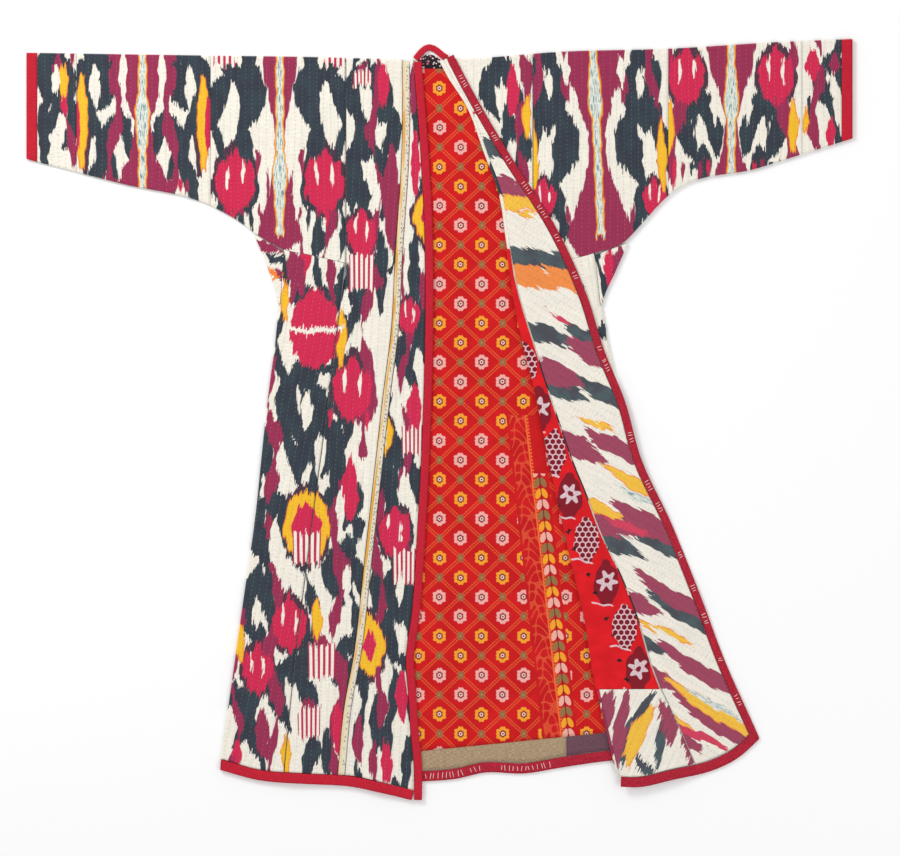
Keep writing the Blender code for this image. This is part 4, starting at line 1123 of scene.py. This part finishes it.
def front_left():
    c, t = steps(32)[None, :], steps(310)[:, None]
    x_hem = mix(-side_seam[-1](-0.61), gore_seam(-0.62), c)
    x_top = mix(-SLEEVE_SEAM, gore_seam(0.632), c)
    y_top = top[-1](np.abs(x_top)) - FOLD_R - WALL / 2 - 0.001
    y = mix(hem_left(x_hem) + HEM_TAPE + JOIN, y_top, t)
    outer = np.where(y > 0.23, -SLEEVE_SEAM, -side_seam[-1](y))
    x = mix(outer + JOIN, gore_seam(y) - TAPE_HALF - JOIN, c)
    rows = list(stack(x, y, front_mid(x, y)))
    rows += over_top(rows[-1], -1, TOP_LAP)
    obj = cloth("front_left_cloth", rows, WALL, SHINING, chart=left_chart, warp=-0.06)
    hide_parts("front_left")


def front_gore_left():
    c, t = steps(14)[None, :], steps(320)[:, None]
    x_hem = mix(gore_seam(-0.62), front_edge(-0.65) - TAPE, c)
    y = mix(hem_left(x_hem) + HEM_TAPE + JOIN, BODY_TOP, t)
    x = mix(gore_seam(y) + TAPE_HALF + JOIN, front_edge(y) - TAPE - JOIN, c)
    rows = list(stack(x, y, front_mid(x, y)))
    rows += over_top(rows[-1], -1, TOP_LAP)
    obj = cloth("front_gore_left_cloth", rows, WALL, SHINING, chart=whole_drawing(LEFT_GORE),
        warp=-0.05)
    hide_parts("front_gore_left")


def seam_tape_left():
    y = steps(220, hem_left(-0.172) + HEM_TAPE + JOIN, BODY_TOP)[:, None]
    d = steps(6, -TAPE_HALF, TAPE_HALF)[None, :]
    middle = gore_seam(y)
    arch = 0.0005 * (1 - (d / TAPE_HALF) ** 2)
    x, z = middle + d, front_mid(middle, y) - 0.0012 + arch
    plan = stack(d, y + 0 * d, 0.0)
    obj = cloth("seam_tape_left_cloth", stack(x, y + 0 * d, z), WALL, TAPE_CLOTH,
        side_of=1.0,
                plan=plan)
    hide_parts("seam_tape_left")


front_left()
front_gore_left()
seam_tape_left()
print("left front", {n: round(cuts[n + "_cloth"][2], 4) for n in ("front_left", "front_gore_left")},
    "square metres")

# %% right front, turned back on itself
def flap_inner(y):
    """Inner edge of the binding along the folded-back front."""
    slope = (flap_edge(y + 0.01) - flap_edge(y - 0.01)) / 0.02
    return flap_edge(y) - TAPE * np.hypot(1.0, slope) - JOIN


def flap_point(y_top, c, t, share_low, share_high):
    """A point of the folded-back front at share c of its width and t down its length."""
    share = mix(share_low, share_high, c)
    y = mix(y_top, hem_flap(share) + HEM_TAPE + JOIN, t)
    low = fold(y) + FOLD_ROOM + roll_radius(y)
    return mix(low, flap_inner(y), share), y


right_chart = whole_drawing(RIGHT_BODY)


def front_right():
    high = 200
    t = steps(high)[:, None]
    c = np.concatenate([steps(26)[:-1] * 0.84, steps(4, 0.84, 1.0)])[None, :]
    x_top = mix(SLEEVE_SEAM, fold(0.632), c)
    y_top = top[1](x_top) - FOLD_R - WALL / 2 - 0.001
    y = mix(hem_under(c) + HEM_TAPE + JOIN, y_top, t)
    outer = np.where(y > 0.25, SLEEVE_SEAM, side_seam[1](y))
    x = mix(outer - JOIN, fold(y) + FOLD_ROOM + roll_radius(y), c)
    z = front_mid(x, y)
    z[:, -1] = FRONT_Z
    main = stack(x, y, z)
    y_end = main[:, -1, 1][:, None]
    r = roll_radius(y_end)
    y_flap = mix(hem_flap(0) + HEM_TAPE + JOIN, FLAP_TOP, t)
    a = steps(8, 0.0, math.pi)[None, 1:]
    ya = mix(y_end, y_flap, a / math.pi)
    turn = stack(fold(ya) + FOLD_ROOM + r - r * np.sin(a), ya, FRONT_Z + r - r * np.cos(a))
    cf = steps(10)[None, 1:]
    xf, yf = flap_point(FLAP_TOP, cf, 1 - t, 0.0, 0.5)
    wing = stack(xf, yf, flap_mid(xf, yf))
    points = np.concatenate([main, turn, wing], axis=1)
    lip_width = main.shape[1] - 1
    lip = over_top(points[-1, :lip_width], 1, TOP_LAP)
    fill = points.shape[1] - lip_width
    lip = [np.concatenate([row, np.repeat(row[-1:], fill, axis=0)]) for row in lip]
    points = np.concatenate([points, np.array(lip)], axis=0)
    cut = np.zeros((points.shape[0] - 1, points.shape[1] - 1), bool)
    cut[high:, lip_width - 1:] = True
    obj = cloth("front_right_cloth", points[:, ::-1], WALL, SHINING, cut=cut[:, ::-1],
        chart=right_chart)
    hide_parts("front_right")


def front_gore_right():
    c, t = steps(16)[None, :], steps(150, 1.0, 0.0)[:, None]
    x, y = flap_point(FLAP_TOP, c, t, 0.5, 1.0)
    x = x + SEAM * (1 - c)
    obj = cloth("front_gore_right_cloth", stack(x, y, flap_mid(x, y)), WALL, SHINING,
                chart=half_drawing(STRIP_LOTUS, 0.30), warp=0.35)
    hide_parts("front_gore_right")


front_right()
front_gore_right()

# %% side gores and gussets
def side_gore(way):
    hem = hem_left if way < 0 else hem_back
    joint_y = 0.200
    c = steps(26 if way < 0 else 14)[None, :]
    upper, lower = steps(22), steps(205 if way < 0 else 120)[1:]
    level = np.concatenate([upper, 1.0 + lower])[:, None]
    x_top = mix(side_seam[way](0.277), GUSSET_IN, c)
    y_top = under[way](x_top) - SEAM
    x_hem = mix(side_seam[way](-0.60), 0.384, c)
    first = level <= 1.0
    y_up = mix(y_top, joint_y, level)
    y = np.where(first, y_up, mix(joint_y, hem(way * x_hem) + HEM_TAPE + JOIN, level - 1.0))
    outer = np.where(first, mix(GUSSET_IN, side[way](joint_y) - 0.004, level) - SEAM,
        side[way](y) - FOLD_R - WALL / 2)
    x = mix(side_seam[way](y) + SEAM, outer, c)
    front = stack(way * x, y, np.where(level > 0, front_mid(way * x, y), FRONT_Z))
    cb = c[:, ::3] if c[:, ::3][0, -1] == 1.0 else np.append(c[:, ::3], [[1.0]], axis=1)
    yb = np.where(first, mix(under[way](mix(side_seam[way](0.277), GUSSET_IN, cb)) - SEAM, joint_y, level),
                  mix(joint_y, hem_back(way * mix(side_seam[way](-0.60), 0.384, cb)) + HEM_TAPE + JOIN,
                  level - 1.0))
    ob = np.where(first, outer[:, -1:], side[way](yb) - FOLD_R - WALL / 2)
    back = stack(way * mix(side_seam[way](yb) + SEAM, ob, cb), yb, BACK_Z)
    arc = []
    for a in steps(6, 0.0, math.pi)[1:-1]:
        s = a / math.pi
        arc.append(stack(mix(front[:, -1, 0], back[:, -1, 0], s) + way * FOLD_R * math.sin(a),
                         mix(front[:, -1, 1], back[:, -1, 1], s), BACK_Z + FOLD_R + FOLD_R * math.cos(a)))
    points = np.concatenate([front, np.stack(arc, 1), back[:, ::-1]], axis=1)
    cut = np.zeros((points.shape[0] - 1, points.shape[1] - 1), bool)
    n = front.shape[1] - 1
    cut[:len(upper) - 1, n:n + len(arc) + 1] = True
    if way > 0:
        points, cut = points[::-1], cut[::-1]
    name = "side_gore_left" if way < 0 else "side_gore_right"
    obj = cloth(name + "_cloth", points, WALL, SHINING, cut=cut,
                chart=left_chart if way < 0 else right_chart, warp=-0.16 if way < 0 else 0.14)
    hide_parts(name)


def gusset(way):
    t = steps(26)[:, None]
    y_out = mix(under[way](ARMPIT) - 0.006, 0.2045, t)
    x_out = side[way](y_out) - FOLD_R - WALL / 2
    x_in = mix(GUSSET_IN, side[way](0.200) - 0.004, t)
    y_in = mix(under[way](GUSSET_IN) - 0.004, 0.2045, t)
    x_in = np.minimum(x_in + SEAM, x_out - 0.0008)
    c = steps(12)[None, :]
    front = stack(way * mix(x_in, x_out, c), mix(y_in, y_out, c), FRONT_Z)
    back = front[:, ::-1].copy()
    back[..., 2] = BACK_Z
    arc = np.stack([stack(way * (x_out[:, 0] + FOLD_R * math.sin(a)), y_out[:, 0], BACK_Z + FOLD_R +
        FOLD_R * math.cos(a))
                    for a in steps(6, 0.0, math.pi)[1:-1]], 1)
    points = np.concatenate([front, arc, back], axis=1)
    name = "gusset_left" if way < 0 else "gusset_right"
    obj = cloth(name + "_cloth", points if way < 0 else points[::-1], WALL, SHINING,
                chart=gusset_left_chart if way < 0 else right_chart, warp=-0.75 if way < 0 else 0.2)
    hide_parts(name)


gusset_left_chart = whole_drawing(GUSSET_STRIPES)
for way in (-1, 1):
    side_gore(way)
    gusset(way)

# %% [markdown]
# ## Sleeves
#
# Each sleeve is three strips sewn side by side, folded over the top edge, with the two lower
# ends meeting in the seam under the arm.

# %% sleeve strips and cuffs
def sleeve_strip(name, way, x0, x1, wall=WALL, cover=SHINING, front_z=FRONT_Z, chart=None,
    size=CELL):
    back_z = wall / 2
    x = steps(cells(x1 - x0, size), x0 + SEAM / 2, x1 - SEAM / 2)
    y_top = top[way](x) - FOLD_R - wall / 2
    close = ease((x - ARMPIT + 0.012) / 0.024)
    y_low = under[way](x) + mix(SEAM, wall / 2, close)
    lip = [0.08, 0.55, 1.05]
    rows = []
    for a in lip:
        z = back_z + FOLD_R + FOLD_R * mix(1.0, math.sin(a), close)
        rows.append(stack(way * x, y_low + FOLD_R * (1 - math.cos(a)), z))
    for s in steps(84)[:-1]:
        y = mix(y_low + FOLD_R, y_top, s)
        rise = front_mid(way * x, y) - FRONT_Z if s > 0 else 0.0
        rows.append(stack(way * x, y, front_z + rise))
    for a in steps(8, 0.0, math.pi):
        rows.append(stack(way * x, y_top + FOLD_R * math.sin(a), back_z + FOLD_R + FOLD_R * math.cos(a)))
    for s in steps(30)[1:]:
        rows.append(stack(way * x, mix(y_top, y_low + FOLD_R, s), back_z))
    for a in lip[::-1]:
        z = back_z + FOLD_R - FOLD_R * mix(1.0, math.sin(a), close)
        rows.append(stack(way * x, y_low + FOLD_R * (1 - math.cos(a)), z))
    points = np.array(rows)
    points = points if way > 0 else points[:, ::-1]
    obj = cloth(name + "_cloth", points, wall, cover, chart=chart)
    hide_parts(name)


sleeve_charts = {-1: (half_drawing(STRIP_LOTUS, -0.279), half_drawing(STRIP_HORNS, -0.519),
    whole_drawing(LEFT_END)),
                 1: (half_drawing(STRIP_BLADES, 0.2685, lean=0.045), half_drawing(STRIP_BUDS, 0.510),
                 whole_drawing(RIGHT_END))}
for way, hand in ((-1, "left"), (1, "right")):
    for part, x0, x1, chart in zip(("inner", "middle", "end"), STRIPS, STRIPS[1:], sleeve_charts[way]):
        sleeve_strip(f"sleeve_{hand}_{part}", way, x0, x1, chart=chart)
    sleeve_strip(f"cuff_binding_{hand}", way, STRIPS[-1], CUFF_X, wall=0.0024, cover=RED_TAPE,
                 front_z=0.0012 + 2 * FOLD_R)
print("sleeves reach", [round(s * CUFF_X, 3) for s in (-1, 1)])

# %% [markdown]
# ## Bindings
#
# Red tapes folded over every raw edge.  They are a little rounded and puckered by their stitching.

# %% edge tapes
def band(name, x, y, width, height_of, cover=RED_TAPE, thick=BAND):
    """A flat tape along a path, its outer edge on the path and its inner edge to the left."""
    x, y = np.asarray(x, float), np.asarray(y, float)
    dx, dy = np.gradient(x), np.gradient(y)
    run = np.hypot(dx, dy)
    nx, ny = (-dy / run)[:, None], (dx / run)[:, None]
    along = np.concatenate([[0.0], np.cumsum(np.hypot(np.diff(x), np.diff(y)))])[:, None]
    d = steps(6, width, 0.0)[None, :]
    px, py = x[:, None] + nx * d, y[:, None] + ny * d
    bulge = 1 - np.abs(2 * d / width - 1) ** 3
    pucker = 0.00022 * np.sin(along * 620 + 3 * np.sin(along * 37)) + 0.00014 * np.sin(along * 1130)
    z = height_of(px, py) - 0.0002 + (0.0004 + pucker) * bulge
    obj = cloth(name + "_cloth", stack(px, py, z), thick - 0.0002, cover, side_of=1.0,
                plan=stack(d + 0 * along, along + 0 * d, 0.0))
    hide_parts(name)
    return np.stack([x, y], 1), np.stack([nx[:, 0], ny[:, 0]], 1)


def front_band_z(x, y):
    return front_mid(x, y, fine=False) - 0.0011


def flap_band_z(x, y):
    return np.maximum(0.0002, flap_mid(x, y) - 0.0011)


def on_floor(x, y):
    return np.full(np.shape(x), 0.0002)


y = steps(330, -0.6625, BODY_TOP)
band("front_binding_left", front_edge(y), y, TAPE, front_band_z)
y = steps(330, -0.5545, 0.6400)
flap_path, flap_way = band("front_binding_right", flap_edge(y), y, TAPE, flap_band_z, cover=WORN_TAPE)
x = steps(90, -0.3835, -0.0490)
band("hem_binding_left", x, hem_left(x), HEM_TAPE, front_band_z)
x = steps(200, -0.3835, 0.3835)
hem_path, hem_way = band("hem_binding_back", x, hem_back(x), HEM_TAPE, on_floor, cover=WORN_TAPE,
    thick=0.0034)
share = steps(70)
y = hem_flap(share)
band("hem_binding_flap", mix(fold(y) + 0.004, flap_edge(y) - 0.0005, share), y, HEM_TAPE, flap_band_z,
    cover=WORN_TAPE)
x = steps(40, -0.0455, 0.0150)[::-1]
band("neck_binding", x, neckline(x), NECK_TAPE, on_floor, thick=0.0034)

# %% [markdown]
# ## Inside the robe
#
# The red printed lining of the back, the beige facing at its hem with a grey-purple piece
# beside it, and the flowered piece in the neck.

# %% back lining and its neighbours
def flat_piece(name, y_low, y_high, x_low, x_high, cover, size=(0.008, 0.008)):
    wide = float(np.max(x_high(np.array(-0.59)) - x_low(np.array(0.0))))
    tall = float(y_high(0.1) - y_low(0.1))
    c, t = steps(cells(wide, size[0]))[None, :], steps(cells(tall, size[1]))[:, None]
    x = mix(x_low(np.zeros_like(t)), x_high(np.full_like(t, -0.59)), c)
    for _ in range(5):
        y = mix(y_low(x), y_high(x), t)
        x = mix(x_low(y), x_high(y), c)
    sag = 0.0003 * np.sin(x * 60 + 2 * np.sin(y * 9)) * np.sin(y * 23 + x * 11)
    obj = cloth(name + "_cloth", stack(x, y, LINING_Z + 0.0003 + sag), 0.0008, cover, side_of=1.0)
    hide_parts(name)


def lining_edge(y):
    wide = np.maximum(fold(y), 0.06) + 0.050
    return np.where(y < 0.55, wide,
        mix(float(np.maximum(fold(0.55), 0.06) + 0.050), 0.05, ease((y - 0.55) / 0.06)))


def hem_top(x):
    return hem_back(x) + HEM_TAPE + JOIN


def beige_top(x):
    return -0.5775 + 0.10 * (x + 0.03)


def same(value):
    return lambda at: np.full(np.shape(at), value, float)


BEIGE_END = 0.222
flat_piece("back_hem_facing", hem_top, beige_top, same(-0.10), same(BEIGE_END), BEIGE)
flat_piece("back_hem_piece", hem_top, beige_top, same(BEIGE_END + SEAM), same(0.345), GREY_PURPLE)
flat_piece("back_lining", lambda x: beige_top(x) + SEAM, same(0.6160),
           lambda y: np.where(y < 0.60, -0.10, -0.05), lining_edge, LINING_RED)
flat_piece("neck_facing", same(0.6163), lambda x: neckline(x) - NECK_TAPE - NECK_CLEAR, same(-0.034),
    same(0.014),
           FLOWERS, size=(0.004, 0.003))

# %% [markdown]
# The inside of the open front: a bias facing of faded ikat, a strip of red printed cotton
# along the fold and a mitred corner of ikat at the hem.

# %% facing, patch and corner of the open front
LIFT = WALL / 2 + 0.0009


def hem_under_cover(across):
    """Heights along the bound hem of the flap, below the x that `across` gives for each height."""
    y = hem_flap(0.5) + HEM_TAPE
    for _ in range(12):
        share = (across(y) - fold(y)) / (flap_edge(y) - fold(y))
        y = hem_flap(np.clip(share, 0.0, 1.0)) + HEM_TAPE + JOIN
    return y


def flap_cover():
    def inner(y):
        return np.where(y < 0.095, facing_seam(y), fold(y) + mix(0.0205, 0.0055, ease((y - 0.095) / 0.2)))

    def top_of(x, y):
        return flap_mid(x, y) + LIFT + ridges(x, y, FLAP_CREASES)

    c, t = steps(40)[None, :], steps(280)[:, None]
    low = hem_under_cover(lambda y: mix(mitre(y), flap_inner(y), c))
    y = mix(low, 0.540, t)
    seam = np.where(y > -0.471, inner(y), mitre(y))
    x = mix(seam + JOIN, flap_inner(y), c)
    obj = cloth("flap_facing_cloth", stack(x, y, top_of(x, y)), THIN, FADED, side_of=1.0,
                chart=whole_drawing(FACING), warp=1.05)
    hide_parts("flap_facing")

    y = steps(370, -0.4680, 0.300)[:, None]
    r = roll_radius(y)
    out = r + LIFT
    a = steps(5, 1.45, 2.6)[None, :]
    roll = stack(fold(y) + FOLD_ROOM + r - out * np.sin(a), y + 0 * a, FRONT_Z + r - out * np.cos(a))
    start = fold(y) + FOLD_ROOM + r
    c = steps(24)[None, :]
    x = mix(start, inner(y) - JOIN, c)
    wing = stack(x, y + 0 * c, flap_mid(x, y + 0 * c) + LIFT)
    obj = cloth("flap_lining_cloth", np.concatenate([roll, wing], 1), THIN, PATCH, side_of=1.0,
                chart=whole_drawing(PATCH_PRINT))
    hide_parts("flap_lining")

    c, t = steps(28)[None, :], steps(40)[:, None]
    y = mix(hem_under_cover(lambda y: mix(fold(y), mitre(y), c)), -0.4683, t)
    x = mix(fold(y) + FOLD_ROOM + roll_radius(y), mitre(y) - SEAM, c)
    obj = cloth("flap_hem_facing_cloth", stack(x, y, flap_mid(x, y) + LIFT), THIN, FADED, side_of=1.0,
                chart=whole_drawing(HEM_CORNER), warp=-0.42)
    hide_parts("flap_hem_facing")


FLAP_CREASES = [Crease(0.30, -0.10, 0.37, -0.20, 0.012, 0.0008),
    Crease(0.36, -0.26, 0.46, -0.36, 0.014, 0.0010),
                Crease(0.42, -0.42, 0.50, -0.52, 0.012, 0.0009),
                Crease(0.20, 0.18, 0.25, 0.08, 0.010, 0.0007),
                Crease(0.26, 0.04, 0.30, -0.05, 0.010, 0.0006)]
flap_cover()

# %% [markdown]
# ## Stitches
#
# Short stitches of thick white thread hold the worn tapes, in little ladders, and dark
# running stitches hold the tape over the gore seam.  Each kind is one joined mesh.

# %% hand stitches
def stitch_mesh(name, places, cover):
    """places: x, y, z, angle, length and width of each stitch, in metres."""
    bm = bmesh.new()
    for x, y, z, angle, length, width in places:
        new = bmesh.ops.create_cube(bm, size=1.0)["verts"]
        bmesh.ops.scale(bm, verts=new, vec=(length, width, 0.0007))
        bmesh.ops.rotate(bm, verts=new, cent=(0, 0, 0), matrix=Matrix.Rotation(angle, 3, "Z"))
        bmesh.ops.translate(bm, verts=new, vec=(x, y - MID_Y, z))
    edges = [e for e in bm.edges]
    bmesh.ops.bevel(bm, geom=edges, offset=0.00018, offset_type="OFFSET", segments=1, profile=0.5,
        affect="EDGES",
                    material=-1)
    layer = bm.loops.layers.uv.new("cloth")
    for face in bm.faces:
        face.smooth = True
        for loop in face.loops:
            loop[layer].uv = (loop.vert.co.x, loop.vert.co.y)
    mesh = bpy.data.meshes.new(name)
    bm.to_mesh(mesh)
    bm.free()
    obj = bpy.data.objects.new(name, mesh)
    bpy.context.scene.collection.objects.link(obj)
    mesh.materials.append(cover)
    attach(obj, "root")
    print(name, len(places), "stitches,", len(mesh.polygons), "faces")


luck = np.random.default_rng(7)


def ladder(path, way, spans, height_of, depth, length, pitch):
    """Stitches across a tape, over each span of its path (shares from 0 to 1)."""
    places = []
    run = np.concatenate([[0.0], np.cumsum(np.hypot(*np.diff(path, axis=0).T))])
    for low, high in spans:
        for s in np.arange(low * run[-1], high * run[-1], pitch):
            s = s + luck.uniform(-0.25, 0.25) * pitch
            x, y = np.interp(s, run, path[:, 0]), np.interp(s, run, path[:, 1])
            nx, ny = np.interp(s, run, way[:, 0]), np.interp(s, run, way[:, 1])
            x, y = x + nx * depth, y + ny * depth
            long = length * luck.uniform(0.7, 1.15)
            places.append((x, y, float(height_of(x, y)) + BAND + 0.0002, math.atan2(ny, nx) +
                luck.uniform(-0.25, 0.25),
                           long, 0.0009))
    return places


FLAP_LADDERS = [(0.955, 0.972), (0.915, 0.928), (0.872, 0.884), (0.838, 0.846), (0.790, 0.806),
    (0.752, 0.768),
                (0.715, 0.726), (0.660, 0.668), (0.560, 0.566), (0.530, 0.546), (0.430, 0.444),
                (0.362, 0.374),
                (0.330, 0.344), (0.262, 0.270), (0.214, 0.224), (0.168, 0.180), (0.115, 0.121),
                (0.052, 0.066)]
places = ladder(flap_path, flap_way, FLAP_LADDERS, flap_band_z, 0.0062, 0.0072, 0.0052)
places += ladder(hem_path, hem_way, [(0.458, 0.555), (0.575, 0.60), (0.64, 0.76)], on_floor, 0.0085, 0.0100,
    0.0072)
stitch_mesh("white_stitches", places, THREAD)

places = []
for y in np.arange(-0.60, 0.62, 0.0068):
    for d, chance in ((0.0012, 0.72), (0.0040, 0.34)):
        if luck.uniform() < chance:
            at = y + luck.uniform(-0.0015, 0.0015)
            x = float(gore_seam(at)) + d + luck.uniform(-0.0006, 0.0006)
            places.append((x, at, float(front_mid(gore_seam(at), at)) + 0.0014, math.pi / 2 +
                luck.uniform(-0.3, 0.3),
                           0.0030, 0.0009))
stitch_mesh("tape_stitches", places, DARK_THREAD)

# %% [markdown]
# ## Floor, light and camera
#
# A pale floor under soft light from all round, with one large lamp to the upper left that
# shows the folds.  The camera looks straight down.

# %% floor
bm = bmesh.new()
bmesh.ops.create_grid(bm, x_segments=1, y_segments=1, size=6.0)
bmesh.ops.translate(bm, verts=bm.verts, vec=(0.0, 0.0, -0.0004))
mesh = bpy.data.meshes.new("floor")
bm.to_mesh(mesh)
bm.free()
floor = bpy.data.objects.new("floor", mesh)
bpy.context.scene.collection.objects.link(floor)
pale = Paint("pale_floor", roughness=0.9, sheen=0.0, base=(0.93, 0.93, 0.93))
mesh.materials.append(pale.material)

# %% light and camera
world = bpy.data.worlds.new("studio")
world.use_nodes = True
world.node_tree.nodes["Background"].inputs["Color"].default_value = (1.0, 1.0, 1.0, 1.0)
world.node_tree.nodes["Background"].inputs["Strength"].default_value = 0.72
bpy.context.scene.world = world
bpy.context.scene.view_settings.view_transform = "Standard"


def lamp(name, place, size, power):
    data = bpy.data.lights.new(name, "AREA")
    data.shape = "DISK"
    data.size = size
    data.energy = power
    obj = bpy.data.objects.new(name, data)
    obj.location = place
    obj.rotation_euler = (-Vector(place)).to_track_quat("-Z", "Y").to_euler()
    bpy.context.scene.collection.objects.link(obj)


lamp("key", (-2.2, 2.4, 2.2), 1.4, 75.0)
lamp("fill", (2.6, -1.2, 3.2), 2.4, 30.0)

LENS, SENSOR, VIEW_WIDTH = 100.0, 36.0, 1.575
data = bpy.data.cameras.new("camera")
data.lens, data.sensor_width = LENS, SENSOR
camera = bpy.data.objects.new("camera", data)
camera.location = (0.0184, -0.0128, VIEW_WIDTH * LENS / SENSOR)
bpy.context.scene.collection.objects.link(camera)
bpy.context.scene.camera = camera
print("camera at", [round(v, 3) for v in camera.location])

# %% [markdown]
# ## Check and finish

# %% sizes
print(len(made), "pieces of cloth,", round(sum(cut[2] for cut in cuts.values()), 2), "square metres in all")
